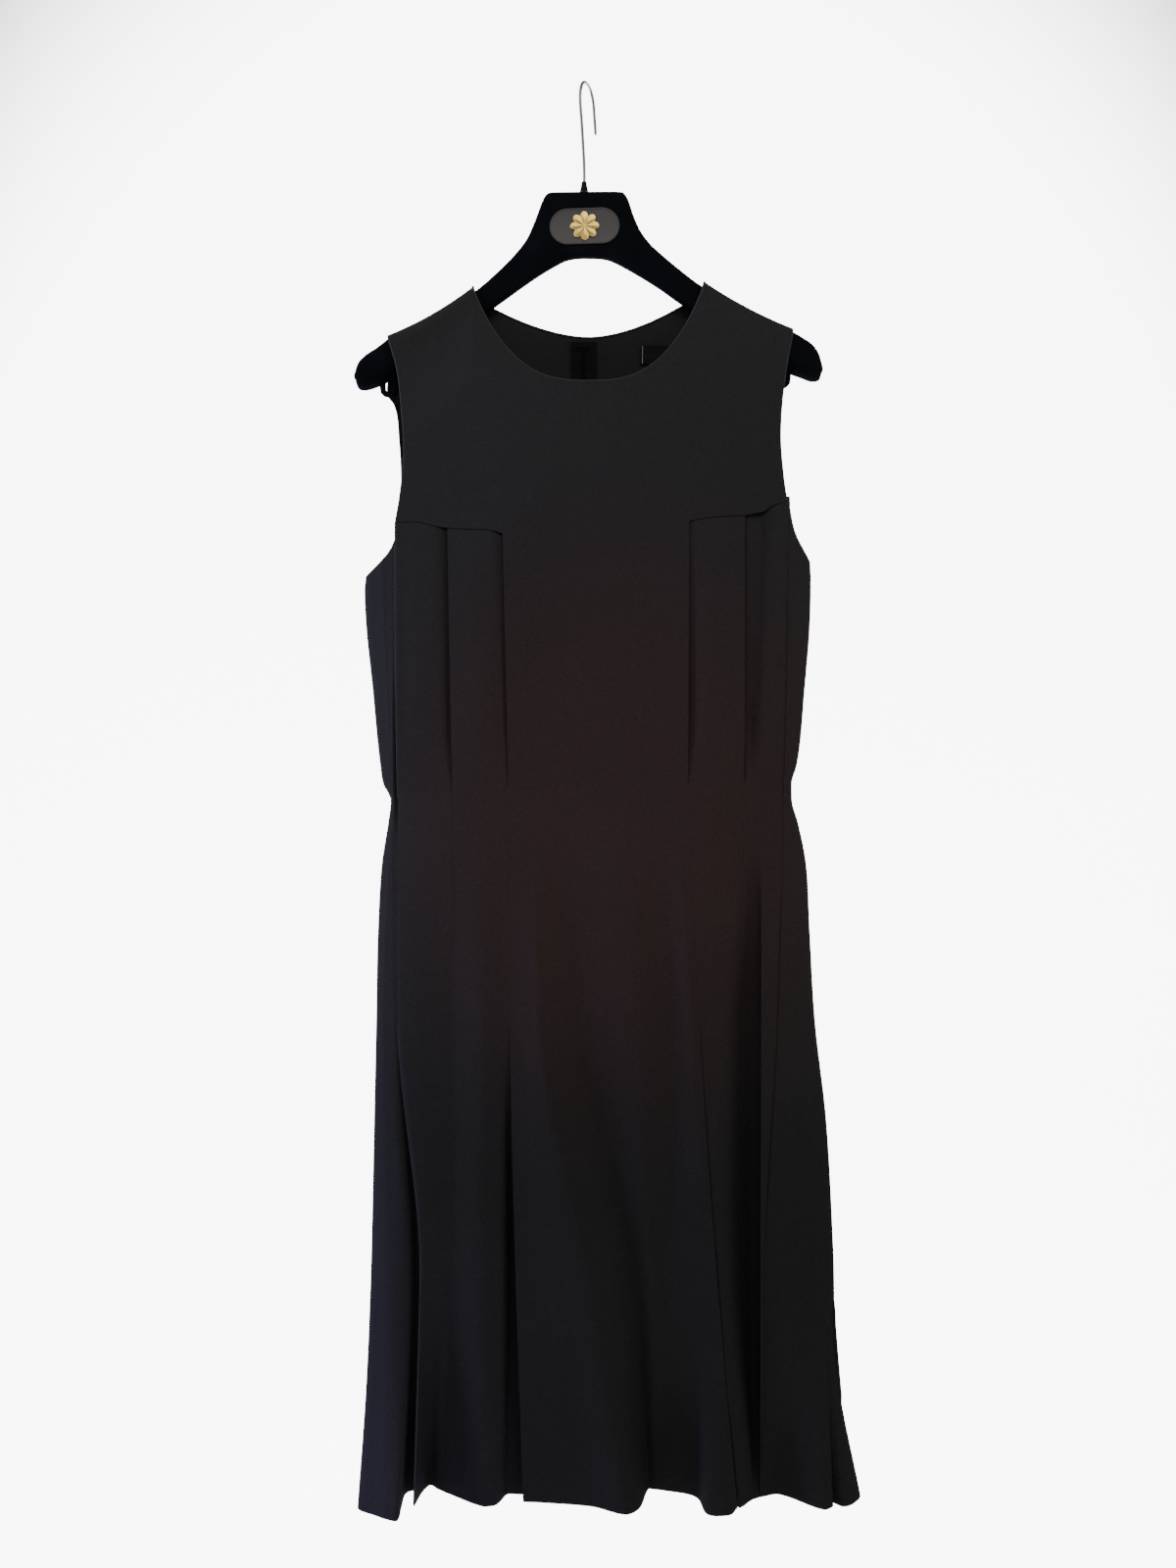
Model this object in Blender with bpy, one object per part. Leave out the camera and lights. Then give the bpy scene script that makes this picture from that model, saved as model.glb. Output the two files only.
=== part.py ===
"""Sleeveless cocktail dress hanging on a flocked hanger.

Metres, +Z up.  The front of the dress faces -Y and +X is to the right of
someone who looks at the front.  The origin is the inside of the hook's crown,
where a rail carries the hanger.

The dress is cut as a front with yoke, two middle gores, two side gores and two
backs.  Every cloth panel is a thin wall: at each height a chain of fold lines
gives points across the panel, a smooth curve runs through them, and the wall
gets its thickness towards the inside.
"""
import math

import bmesh
import bpy
import numpy as np
from mathutils import Matrix, Vector

MM = 0.001

# ---- cloth ---------------------------------------------------------------
WALL = 1.5 * MM                 # cloth with its facing, as one wall
SEAM_GAP = 0.3 * MM             # between two pieces that are sewn together

# ---- neck, shoulders and yoke, mm ---------------------------------------
NECK_LEFT = (-104.0, -184.4)    # neck point x, z
NECK_RIGHT = (107.0, -180.0)
SHOULDER_LEFT = (78.0, 0.769, 0.00245)    # length in x, slope at the neck, easing
SHOULDER_RIGHT = (81.0, 0.68, 0.0018)
FRONT_NECK = (-279.4, 2.9)      # lowest z of the neckline, power of its curve
BACK_NECK = (-227.0, 1.8)
YOKE_SEAM = (                   # x, z; it turns only where a pleat meets it
    (-173.6, -404.0), (-126.0, -411.0), (-78.0, -415.5), (92.0, -404.5), (142.5, -399.0),
    (181.4, -384.0))
ARMHOLE_FRONT_LEFT = (          # z, x
    (-231.0, -182.0), (-263.0, -172.5), (-300.0, -168.0), (-339.0, -165.6),
    (-383.0, -169.8), (-404.0, -173.6))
ARMHOLE_FRONT_RIGHT = (
    (-224.0, 188.0), (-267.0, 180.0), (-325.0, 175.2), (-365.0, 178.4),
    (-384.0, 181.4))
ARMHOLE_BACK_LEFT = (
    (-231.0, -182.0), (-283.0, -179.0), (-322.0, -173.5), (-390.0, -172.0),
    (-440.0, -181.0), (-462.0, -191.0))
ARMHOLE_BACK_RIGHT = (
    (-224.0, 188.0), (-283.0, 178.0), (-322.0, 173.0), (-390.0, 173.5),
    (-430.0, 182.0), (-450.0, 191.0))
UNDERARM = (-462.0, -450.0)     # z of the armholes' lowest points, left and right
UNDERARM_SEAM = (-429.0, -402.0)    # z of the armholes at the side seams
UNDERARM_CURVE = 0.58
SHOULDER_EASE = 90.0            # below the arm's roundness, depth eases in over this

# ---- sections of the dress, mm ------------------------------------------
SECTIONS = (                    # z, left, right, front depth, back depth
    (-200.0, -204.4, 205.5, 31.0, 25.0),
    (-462.0, -204.4, 205.5, 30.0, 27.0),
    (-497.0, -202.8, 204.6, 30.0, 27.0),
    (-551.0, -197.2, 200.2, 29.0, 26.0),
    (-623.0, -190.0, 192.8, 26.0, 25.0),
    (-641.0, -187.1, 187.8, 24.5, 24.5),
    (-656.0, -180.0, 188.0, 24.0, 24.0),
    (-677.0, -182.5, 193.9, 25.0, 25.0),
    (-713.0, -188.2, 201.1, 28.0, 28.0),
    (-776.0, -191.9, 204.5, 31.0, 31.0),
    (-857.0, -193.4, 209.0, 34.0, 34.0),
    (-947.0, -195.2, 219.2, 32.0, 36.0),
    (-1064.0, -197.4, 225.6, 27.0, 38.0),
    (-1181.0, -200.4, 229.5, 22.0, 40.0),
    (-1289.0, -206.8, 248.5, 18.0, 42.0))
ROUNDNESS = 3.0                 # power of the section's curve towards the side
HEIGHTS = (                     # levels of the panels' rows below the yoke seam
    -505.0, -550.0, -600.0, -638.0, -645.0, -652.0, -675.0, -683.0, -720.0, -770.0,
    -820.0, -857.0, -864.0, -900.0, -950.0, -1010.0, -1080.0, -1150.0, -1220.0,
    -1289.0)
STATIONS = (-410.0, -650.0, -857.0, -1080.0, -1289.0)   # yoke, waist, hip, knee, hem

# ---- fold lines, mm -------------------------------------------------------
# x at the yoke, waist, hip, knee and hem; depth behind the plain section at the
# hip, knee and hem (minus stands forward); steps to the next line.
FRONT_CENTRE = (
    ("left edge", -78.0, -71.0, -69.5, -64.5, -59.0, 0.0, -1.0, 2.0, 3),
    ("left crest", -60.0, -60.0, -56.0, -45.0, -40.0, 0.0, -1.0, -1.0, 2),
    ("long ridge", -38.0, -45.0, -34.0, 7.0, 34.0, -3.0, -8.0, -24.0, 3),
    ("long valley", -12.0, -12.0, -2.0, 31.0, 57.0, 4.0, 10.0, 24.0, 2),
    ("short ridge", 28.0, 30.0, 42.0, 50.0, 62.5, -2.0, 3.0, 23.0, 2),
    ("right valley", 56.0, 68.0, 77.0, 71.5, 68.0, 3.5, 9.0, 22.0, 2),
    ("step", 66.0, 76.0, 85.0, 94.0, 98.5, 1.0, 3.0, 9.0, 1),
    ("right ridge", 76.0, 83.0, 93.0, 103.0, 107.5, -2.0, -7.0, -24.0, 2),
    ("flat", 84.0, 87.0, 97.0, 110.0, 127.0, -1.0, -6.0, -25.0, 2),
    ("right edge", 92.0, 91.2, 100.8, 116.8, 135.0, 0.0, -3.0, -13.0, 0))
MIDDLE_LEFT = (
    ("outer edge", -126.0, -121.8, -118.3, -121.0, -129.0, 0.0, 3.0, 14.0, 2),
    ("crest", -100.0, -96.0, -94.0, -94.0, -90.0, 0.0, -4.0, -10.0, 2),
    ("roll", -88.0, -81.0, -80.0, -76.0, -77.0, 0.0, 0.0, 2.0, 2),
    ("inner edge", -78.0, -71.0, -69.5, -64.5, -59.0, 0.0, 0.0, 0.0, 0))
SIDE_LEFT = (
    ("side edge", -174.0, -172.9, -171.2, -150.8, -154.0, 0.0, 1.0, 7.0, 2),
    ("side valley", -156.0, -154.0, -152.0, -141.0, -145.0, 0.0, 5.0, 28.0, 1),
    ("roll", -138.0, -134.0, -130.0, -132.0, -138.0, 0.0, 4.0, 20.0, 2),
    ("outer edge", -126.0, -121.8, -118.3, -121.0, -129.0, 0.0, 3.0, 14.0, 0))
MIDDLE_RIGHT = (
    ("inner edge", 92.0, 91.2, 100.8, 116.8, 135.0, 0.0, 0.0, -4.0, 2),
    ("roll", 101.0, 100.5, 110.0, 127.0, 140.0, 0.0, -1.0, -9.0, 2),
    ("crest", 122.0, 121.0, 127.0, 134.0, 143.0, 0.0, -2.0, -6.0, 1),
    ("turn", 136.0, 136.5, 136.0, 138.5, 145.5, 0.0, 0.0, -2.0, 2),
    ("outer edge", 142.5, 142.0, 141.0, 142.8, 148.5, 0.0, 0.0, 0.0, 0))
SIDE_RIGHT = (
    ("outer edge", 142.5, 142.0, 141.0, 142.8, 148.5, 0.0, 0.0, 0.0, 2),
    ("floor", 152.0, 150.5, 148.5, 149.5, 151.5, 9.0, 11.0, 12.0, 1),
    ("rise", 160.0, 157.0, 155.0, 154.5, 154.5, 1.0, 5.0, 10.0, 2),
    ("side edge", 183.5, 179.0, 172.3, 160.2, 158.0, 0.0, 3.0, 9.0, 0))
# The backs wrap forward round the side, and these lines are on that stretch.
WRAP_LEFT = (
    ("crest", -190.0, -176.6, -184.0, -178.0, -181.0, 0.0, -5.0, -30.0, 2),
    ("roll", -181.0, -175.0, -177.5, -164.0, -166.5, 0.0, 1.0, -6.0, 2))
WRAP_RIGHT = (
    ("flute", 200.0, 185.4, 204.0, 219.0, 235.0, 0.0, -2.0, -19.0, 1),
    ("turn", 197.0, 184.2, 199.0, 213.0, 222.0, 0.0, 0.0, -6.0, 1),
    ("crest", 193.0, 182.8, 193.0, 206.0, 213.0, 0.0, -4.0, -20.0, 2),
    ("valley", 188.0, 181.0, 183.0, 181.0, 174.0, 0.0, 1.0, 12.0, 2),
    ("side edge", 183.8, 179.3, 172.6, 160.5, 158.3, 0.0, 2.0, 7.0, 0))
SEAM_LINES = {                  # the upper layer's edge at each seam
    "inner left": FRONT_CENTRE[0],
    "inner right": FRONT_CENTRE[-1],
    "outer left": MIDDLE_LEFT[0],
    "outer right": MIDDLE_RIGHT[-1],
    "side left": SIDE_LEFT[0],
    "side right": WRAP_RIGHT[-1]}
# The under layer of each seam: z, how far its edge goes in under the upper layer,
# and how far that edge lies behind the upper layer's.
UNDER = {
    "inner left": (
        (-400.0, 8.0, 6.0), (-638.0, 2.0, 4.0), (-645.0, -0.3, 4.0), (-652.0, -0.3, 0.0),
        (-857.0, -0.3, 0.0), (-864.0, -0.3, 4.0), (-900.0, 5.0, 6.0), (-1080.0, 6.0, 9.0),
        (-1289.0, 6.0, 12.0)),
    "inner right": (
        (-400.0, 8.0, 6.0), (-638.0, 2.0, 4.0), (-645.0, -0.3, 4.0), (-652.0, -0.3, 0.0),
        (-857.0, -0.3, 0.0), (-864.0, -0.3, 4.0), (-900.0, 5.0, 5.0), (-1080.0, 5.0, 7.0),
        (-1289.0, 5.0, 12.0)),
    "outer left": (
        (-400.0, 8.0, 5.0), (-638.0, 2.0, 4.0), (-645.0, -0.3, 4.0), (-652.0, -0.3, 0.0),
        (-1289.0, -0.3, 0.0)),
    "outer right": (
        (-400.0, 8.0, 6.0), (-638.0, 2.0, 4.0), (-645.0, -0.3, 4.0), (-652.0, -0.3, 0.0),
        (-675.0, -0.3, 0.0), (-683.0, -0.3, 5.0), (-720.0, 4.0, 14.0), (-1289.0, 4.0, 19.0)),
    "side left": (
        (-400.0, 7.0, 6.0), (-857.0, 6.0, 6.0), (-950.0, 6.0, 9.0), (-1080.0, 5.0, 13.0),
        (-1289.0, 4.0, 24.0)),
    "side right": (
        (-404.0, -0.3, 0.0), (-430.0, 1.0, 5.5), (-505.0, 4.0, 6.5), (-600.0, 1.5, 6.0),
        (-641.0, 1.0, 5.0), (-677.0, 1.0, 5.0), (-713.0, 3.0, 6.0), (-857.0, 5.0, 6.0),
        (-1289.0, 4.0, 9.0))}
TURN_BACK = (                   # the right middle gore's outer edge rolls back: z, depth
    (-675.0, 0.0), (-720.0, 9.0), (-1289.0, 12.0))

# Back panels: place as a share of the half width, depth at hip, knee and hem, steps.
BACK = (
    ("centre back", 0.0, 0.0, 0.0, -3.0, 2),
    ("first flute", 0.17, 0.0, 2.0, 7.0, 2),
    ("first hollow", 0.36, 0.0, -3.0, -10.0, 2),
    ("second flute", 0.55, 0.0, 2.0, 9.0, 2),
    ("second hollow", 0.74, 0.0, -2.0, -7.0, 2),
    ("armhole line", 0.945, 0.0, 1.0, 3.0, 2))
SIDE_DEPTH = ((-462.0, 0.0), (-857.0, 0.0), (-1080.0, -4.0), (-1289.0, -17.0))
CENTRE_BACK_X = -3.0

# ---- hanger, mm -----------------------------------------------------------
HANGER = (                      # x, top z (None: under the shoulder), bottom z, half thickness
    (-212.4, -263.0, -271.0, 7.0), (-210.5, -256.5, -277.0, 10.5),
    (-205.0, -249.5, -279.5, 13.0), (-192.0, -240.5, -276.0, 14.0),
    (-180.0, None, -270.0, 14.0), (-160.0, None, -256.5, 13.0),
    (-140.0, None, -242.5, 11.0), (-127.0, None, -233.0, 9.4),
    (-114.0, None, -224.0, 7.8), (-104.0, -189.6, -216.8, 6.8),
    (-84.0, -172.9, -203.0, 6.2), (-66.0, -154.8, -190.0, 5.8),
    (-54.0, -138.5, -181.5, 5.6), (-46.0, -119.5, -176.0, 5.6),
    (-41.0, -106.0, -172.8, 5.6), (-38.0, -100.6, -171.0, 5.6),
    (-33.0, -98.0, -168.0, 5.6), (-18.0, -97.7, -160.5, 5.6),
    (1.0, -97.5, -158.6, 5.6), (20.0, -97.4, -160.5, 5.6),
    (32.0, -97.7, -166.0, 5.6), (37.0, -104.5, -169.0, 5.6),
    (41.0, -119.0, -171.5, 5.6), (47.0, -133.5, -175.0, 5.6),
    (56.0, -146.0, -180.5, 5.8), (66.0, -155.5, -187.0, 6.0),
    (84.0, -169.9, -199.5, 6.2), (107.0, -185.2, -215.0, 6.8),
    (117.0, None, -221.5, 7.8), (130.0, None, -230.0, 9.4),
    (144.0, None, -240.0, 11.0), (164.0, None, -252.5, 13.0),
    (186.0, None, -264.0, 14.0), (198.0, -232.0, -268.5, 14.0),
    (207.0, -238.5, -271.5, 13.0), (213.0, -248.0, -270.5, 10.5),
    (215.2, -256.0, -264.5, 7.0))
HANGER_CLEAR = 3.2              # cloth face outside the arm's own round top
HANGER_DROP = 2.6               # arm's top below the cloth's face on the shoulder
HANGER_SIDES = 16
STRAP_LOOP = (15.0, 3.0, 5.4, 2.0, 4.0)    # width, bar, slot, corner, thickness
STRAP_LOOPS = (                 # side, outer x, way inwards, lowest z
    ("left", -189.0, 1.0, -284.6), ("right", 187.0, -1.0, -277.4))
WIRE_R = 1.4
HOOK_TURN = math.radians(71.0)  # the hook is turned away from the hanger's plane
HOOK = (                        # place along the hook's plane, z
    (0.0, -96.9), (0.0, -86.5), (-2.5, -74.0), (-9.5, -56.0), (-16.2, -38.0),
    (-19.8, -25.0), (-19.6, -14.0), (-15.6, -5.6), (-8.2, -0.2), (0.0, 1.4),
    (8.4, -0.1), (14.6, -4.9), (18.0, -12.0), (19.8, -20.0), (21.8, -28.0),
    (23.8, -36.0))
HOOK_FOOT = (-2.7, 0.0)         # x, y where the wire enters the hanger
HOOK_CENTRE_X = 0.4
HOOK_BEND = -30.0               # below this z the wire leads over to its foot
COLLAR = (                      # radius, height over the hanger's top: a ring's section
    (3.9, 0.4), (3.9, 1.4), (2.2, 9.2), (1.8, 9.2), (1.8, 0.4))
PLATE = (-2.2, -131.1, 64.0, 33.0, 1.2)    # centre x, z, width, height, thickness
PLATE_TILT = math.radians(2.0)
ROSETTE = (13.5, 9.0, 8, 0.8, 1.0)  # outer and inner radius, petals, fullness, thickness
TRIM_GAP = 0.3                  # plate and loops off the hanger, rosette off the plate

# ---- zip and label, mm ----------------------------------------------------
ZIP_TOP, ZIP_FOOT = -231.0, -790.0
ZIP_TAPE = (12.0, 0.8)          # half width, thickness
INSIDE_GAP = 0.4                # tape and label off the cloth's inside
SLIDER = (5.0, 9.0, 1.4)        # width, height, thickness
SLIDER_TOP = -234.0
SLIDER_GAP = 0.45               # slider off the back's face
EAR = (0.9, 2.0, 0.3)           # thickness, reach, play beside the tab's knuckle
PIN = (0.55, 0.35, 2.6)         # radius, room under the knuckle, drop from the slider's top
KNUCKLE = (1.35, 0.85, 2.6)     # outer radius, bore radius, width
PULL = (24.0, 1.0, 2.2, 3.0)    # length, thickness, widening at its foot, length of its neck
LABEL = (49.5, 99.5, -234.0, -250.0, 0.6)  # x from, to, z from, to, thickness


# ---- small tools ----------------------------------------------------------
def along(at, places, values):
    """Smooth value at `at` on a curve through (places, values) without overshoot."""
    places, values = np.asarray(places, float), np.asarray(values, float)
    if places[0] > places[-1]:
        places, values = places[::-1], values[::-1]
    step = np.diff(places)
    slope = np.diff(values) / step
    tangent = np.concatenate((slope[:1], 0.5 * (slope[1:] + slope[:-1]), slope[-1:]))
    turns = slope[1:] * slope[:-1] <= 0.0
    tangent[1:-1][turns] = 0.0
    limit = 3.0 * np.minimum(np.abs(slope[1:]), np.abs(slope[:-1]))
    tangent[1:-1] = np.clip(tangent[1:-1], -limit, limit)
    at = np.clip(at, places[0], places[-1])
    k = np.clip(np.searchsorted(places, at, side="right") - 1, 0, len(step) - 1)
    h = step[k]
    t = (at - places[k]) / h
    return ((1 + 2 * t) * (1 - t) ** 2 * values[k] + t * (1 - t) ** 2 * h * tangent[k]
            + t * t * (3 - 2 * t) * values[k + 1] - t * t * (1 - t) * h * tangent[k + 1])


def straight(at, table, column=1):
    """Value at `at` on straight lines through a table's rows, read by its first column."""
    rows = sorted(table)
    return np.interp(at, [row[0] for row in rows], [row[column] for row in rows])


def smooth(t):
    t = np.clip(t, 0.0, 1.0)
    return t * t * (3.0 - 2.0 * t)


def curve_through(chain, steps):
    """Points on a smooth curve through a chain, with `steps` stretches per link."""
    chain = np.asarray(chain, float)
    ends = np.vstack((2 * chain[0] - chain[1], chain, 2 * chain[-1] - chain[-2]))
    points = [chain[0]]
    for link, count in enumerate(steps):
        a, b, c, d = ends[link:link + 4]
        reach = np.linalg.norm(c - b)
        before = (c - a) * reach / max(np.linalg.norm(b - a) + reach, 1e-9)
        after = (d - b) * reach / max(np.linalg.norm(d - c) + reach, 1e-9)
        for k in range(1, count + 1):
            t = k / count
            points.append((1 + 2 * t) * (1 - t) ** 2 * b + t * (1 - t) ** 2 * before
                          + t * t * (3 - 2 * t) * c - t * t * (1 - t) * after)
    return np.array(points)


def material(name, colour, roughness, metallic=0.0):
    made = bpy.data.materials.new(name)
    made.use_nodes = True
    shader = made.node_tree.nodes["Principled BSDF"]
    shader.inputs["Base Color"].default_value = (*colour, 1.0)
    shader.inputs["Roughness"].default_value = roughness
    shader.inputs["Metallic"].default_value = metallic
    return made


def add_object(name, bm, finish, soft_angle=40.0):
    mesh = bpy.data.meshes.new(name)
    bm.to_mesh(mesh)
    bm.free()
    mesh.materials.append(finish)
    mesh.shade_smooth()
    mesh.set_sharp_from_angle(angle=math.radians(soft_angle))
    made = bpy.data.objects.new(name, mesh)
    bpy.context.collection.objects.link(made)
    return made


def wall(name, face, finish, keep=None, thickness=WALL, outward=1.0, level_first=False):
    """Closed wall under a grid of points in mm.

    `face` is [row, column, xyz]; the other side lies `thickness` behind it along
    the mean direction of the faces round each point, and a rim closes each free
    edge.  `keep` leaves quads out.  With `level_first` the first row is offset
    straight down, so that two panels can meet over a shoulder.
    """
    face = np.asarray(face, float) * MM
    rows, columns = face.shape[:2]
    flat = face.reshape(-1, 3)
    index = np.arange(rows * columns).reshape(rows, columns)
    quads = np.stack((index[:-1, :-1], index[1:, :-1], index[1:, 1:], index[:-1, 1:]), axis=-1)
    if keep is not None:
        quads = quads[keep]
    quads = quads.reshape(-1, 4)
    if outward < 0:
        quads = quads[:, ::-1]
    corner = flat[quads]
    direction = np.cross(corner[:, 2] - corner[:, 0], corner[:, 3] - corner[:, 1])
    normal = np.zeros_like(flat)
    for k in range(4):
        np.add.at(normal, quads[:, k], direction)
    if level_first is not False:
        normal[index[0, level_first], 1] = 0.0
    length = np.linalg.norm(normal, axis=1, keepdims=True)
    back = flat - thickness * normal / np.maximum(length, 1e-12)

    bm = bmesh.new()
    used = np.unique(quads)
    outer = {k: bm.verts.new(flat[k]) for k in used}
    inner = {k: bm.verts.new(back[k]) for k in used}
    for quad in quads:
        bm.faces.new([outer[k] for k in quad])
    bm.edges.ensure_lookup_table()
    twin = {outer[k]: inner[k] for k in used}
    rims = [loop for edge in bm.edges if edge.is_boundary for loop in edge.link_loops]
    rims = [(loop.vert, loop.link_loop_next.vert) for loop in rims]
    for quad in quads:
        bm.faces.new([inner[k] for k in quad[::-1]])
    for start, end in rims:
        bm.faces.new((end, start, twin[start], twin[end]))
    return add_object(name, bm, finish)


def closed_rings(name, rings, finish, soft_angle=40.0):
    """Closed body through rings of equal count, with flat ends."""
    bm = bmesh.new()
    loops = [[bm.verts.new(Vector(point) * MM) for point in ring] for ring in rings]
    count = len(loops[0])
    for first, second in zip(loops, loops[1:]):
        for k in range(count):
            bm.faces.new((first[k], first[(k + 1) % count],
                          second[(k + 1) % count], second[k]))
    bm.faces.new(loops[0][::-1])
    bm.faces.new(loops[-1])
    bmesh.ops.recalc_face_normals(bm, faces=bm.faces)
    return add_object(name, bm, finish, soft_angle)


def slab(name, outline, depth, finish, place=Matrix.Identity(4)):
    """Flat body: an outline in x, z with its front face at y = 0, `depth` thick."""
    bm = bmesh.new()
    front = bm.faces.new([bm.verts.new((x * MM, 0.0, z * MM)) for x, z in outline])
    made = bmesh.ops.extrude_face_region(bm, geom=[front])
    moved = [item for item in made["geom"] if isinstance(item, bmesh.types.BMVert)]
    bmesh.ops.translate(bm, verts=moved, vec=(0.0, depth * MM, 0.0))
    bmesh.ops.recalc_face_normals(bm, faces=bm.faces)
    bmesh.ops.transform(bm, matrix=place, verts=bm.verts)
    return add_object(name, bm, finish)


# ---- the dress's own form -------------------------------------------------
def half_thickness(x):
    rows = sorted(HANGER)
    return np.interp(x, [row[0] for row in rows], [row[3] for row in rows])


def shoulder_height(x):
    """Top line of the dress: level inside the neck, then down each shoulder."""
    left = np.clip(NECK_LEFT[0] - x, 0.0, None)
    right = np.clip(x - NECK_RIGHT[0], 0.0, None)
    inside = np.clip((x - NECK_LEFT[0]) / (NECK_RIGHT[0] - NECK_LEFT[0]), 0.0, 1.0)
    level = NECK_LEFT[1] + (NECK_RIGHT[1] - NECK_LEFT[1]) * inside
    return (level - SHOULDER_LEFT[1] * left + SHOULDER_LEFT[2] * left ** 2
            - SHOULDER_RIGHT[1] * right + SHOULDER_RIGHT[2] * right ** 2)


def plain_depth(x, z, side):
    """y of the dress without folds: side is -1 in front and +1 behind."""
    table = np.array(SECTIONS)
    left = along(z, table[:, 0], table[:, 1])
    right = along(z, table[:, 0], table[:, 2])
    deep = along(z, table[:, 0], table[:, 3 if side < 0 else 4])
    across = np.clip(np.abs((x - 0.5 * (left + right)) / (0.5 * (right - left))), 0.0, 1.0)
    chest = deep * np.sqrt(1.0 - across ** ROUNDNESS)
    drop = np.maximum(shoulder_height(x) - z, 0.0)
    arm = half_thickness(x) + HANGER_CLEAR
    over_arm = np.sqrt(np.maximum(arm ** 2 - np.maximum(arm - drop, 0.0) ** 2, 0.0))
    below = arm + (chest - arm) * smooth((drop - arm) / SHOULDER_EASE)
    reach = np.where(drop < arm, over_arm, below)
    return side * np.maximum(reach, 0.5 * SEAM_GAP / MM)


def side_x(z, side):
    table = np.array(SECTIONS)
    return along(z, table[:, 0], table[:, 1 if side < 0 else 2])


def line_x(row, z):
    return along(z, STATIONS, row[1:6])


def fold_depth(row, z):
    """Depth of a fold: none above the waist, then by the hip, knee and hem values."""
    return along(z, STATIONS[1:], (0.0,) + tuple(row[6:9]))


def seam_x(seam, z):
    return line_x(SEAM_LINES[seam], z)


def link(row, z):
    x = line_x(row, z)
    return [x, plain_depth(x, z, -1.0) + fold_depth(row, z)]


def under_link(seam, z, away):
    """Edge of the under layer of a seam; `away` is +1 where it runs to larger x."""
    x = seam_x(seam, z) + away * straight(z, UNDER[seam], 1)
    behind = fold_depth(SEAM_LINES[seam], z) + straight(z, UNDER[seam], 2)
    return [x, plain_depth(x, z, -1.0) + behind]


def yoke_height(x):
    return straight(x, YOKE_SEAM)


def front_rows(table, start=None, end=None, top_gap=SEAM_GAP / MM):
    """Rows of a front panel from the yoke seam to the hem."""
    steps = [row[-1] for row in table[:-1]]
    rows = []
    for z in (None,) + HEIGHTS:
        level = STATIONS[0] if z is None else z
        chain = [link(row, level) for row in table]
        if start:
            chain[0] = start(level)
        if end:
            chain[-1] = end(level)
        points = curve_through(chain, steps)
        height = yoke_height(points[:, 0]) - top_gap if z is None else np.full(len(points), z)
        rows.append(np.column_stack((points, height)))
    return np.array(rows)


def patch(top, bottom, left, right, shares):
    """Points spanned between four edge curves in x, z (a Coons patch)."""
    across = np.linspace(0.0, 1.0, len(top))[None, :, None]
    down = np.asarray(shares)[:, None, None]
    ruled = (1 - down) * top[None] + down * bottom[None]
    sides = (1 - across) * left[:, None] + across * right[:, None]
    corners = ((1 - down) * ((1 - across) * top[0] + across * top[-1])
               + down * ((1 - across) * bottom[0] + across * bottom[-1]))
    return ruled + sides - corners


def armhole(table, shares):
    """Points in x, z down an armhole at the given shares of its height."""
    z = table[0][0] + np.asarray(shares) * (table[-1][0] - table[0][0])
    return np.column_stack((along(z, *zip(*table)), z))


def neckline(start, end, tops, low, power, count):
    """Curve in x, z: `low` at the dress's middle and up to `tops` at the neck points.

    It runs from x = start to x = end with its points closer together at the end.
    """
    share = np.linspace(0.0, 1.0, count)
    x = start + (end - start) * (0.5 * share + 0.25 - 0.25 * np.cos(math.pi * share))
    middle = 0.5 * (NECK_LEFT[0] + NECK_RIGHT[0])
    edge = np.where(x < middle, NECK_LEFT[0], NECK_RIGHT[0])
    upper = np.where(x < middle, *tops)
    reach = np.abs((x - middle) / (edge - middle)) ** power
    return np.column_stack((x, low + (upper - low) * reach / max(reach[0], reach[-1])))


def shoulder(length, start, side, count):
    x = start + side * np.linspace(0.0, length, count)
    return np.column_stack((x, shoulder_height(x)))


SHOULDER_COLUMNS = 6
# Rows of the upper part as shares of its height.  The neckline starts at row NECK_ROW,
# where the cloth has come down over the roundness of the hanger's arm.
FRONT_SHARES = (0.0, 0.003, 0.014, 0.034, 0.066, 0.12, 0.22, 0.38, 0.56, 0.78, 1.0)
BACK_SHARES = (0.0, 0.003, 0.012, 0.029, 0.055, 0.095, 0.16, 0.28, 0.44, 0.6, 0.74, 0.87, 1.0)
NECK_ROW = 3


def raise_patch(flat, side):
    """Give a patch in x, z its depth."""
    x, z = flat[..., 0], flat[..., 1]
    return np.stack((x, plain_depth(x, z, side), z), axis=-1)


def straight_line(start, end, shares):
    return np.array(start) + np.outer(shares, np.array(end) - np.array(start))


def below_neck(shares):
    """The rows under the neckline, as shares of what is left of the height."""
    return (np.array(shares[NECK_ROW:]) - shares[NECK_ROW]) / (1.0 - shares[NECK_ROW])


def shoulder_patch(side, armhole_table, seam, shares):
    """Cloth over one shoulder in x, z, from the neck to the armhole.

    `seam` is its lower edge, and the first column starts at the neck point.
    """
    neck = NECK_LEFT if side < 0 else NECK_RIGHT
    length = (SHOULDER_LEFT if side < 0 else SHOULDER_RIGHT)[0]
    top = shoulder(length, neck[0], side, SHOULDER_COLUMNS)
    inner = straight_line(top[0], seam[0], shares)
    outer = armhole(armhole_table, shares)
    outer[0], outer[-1] = top[-1], seam[-1]
    return patch(top, seam, inner, outer, shares)


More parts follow.
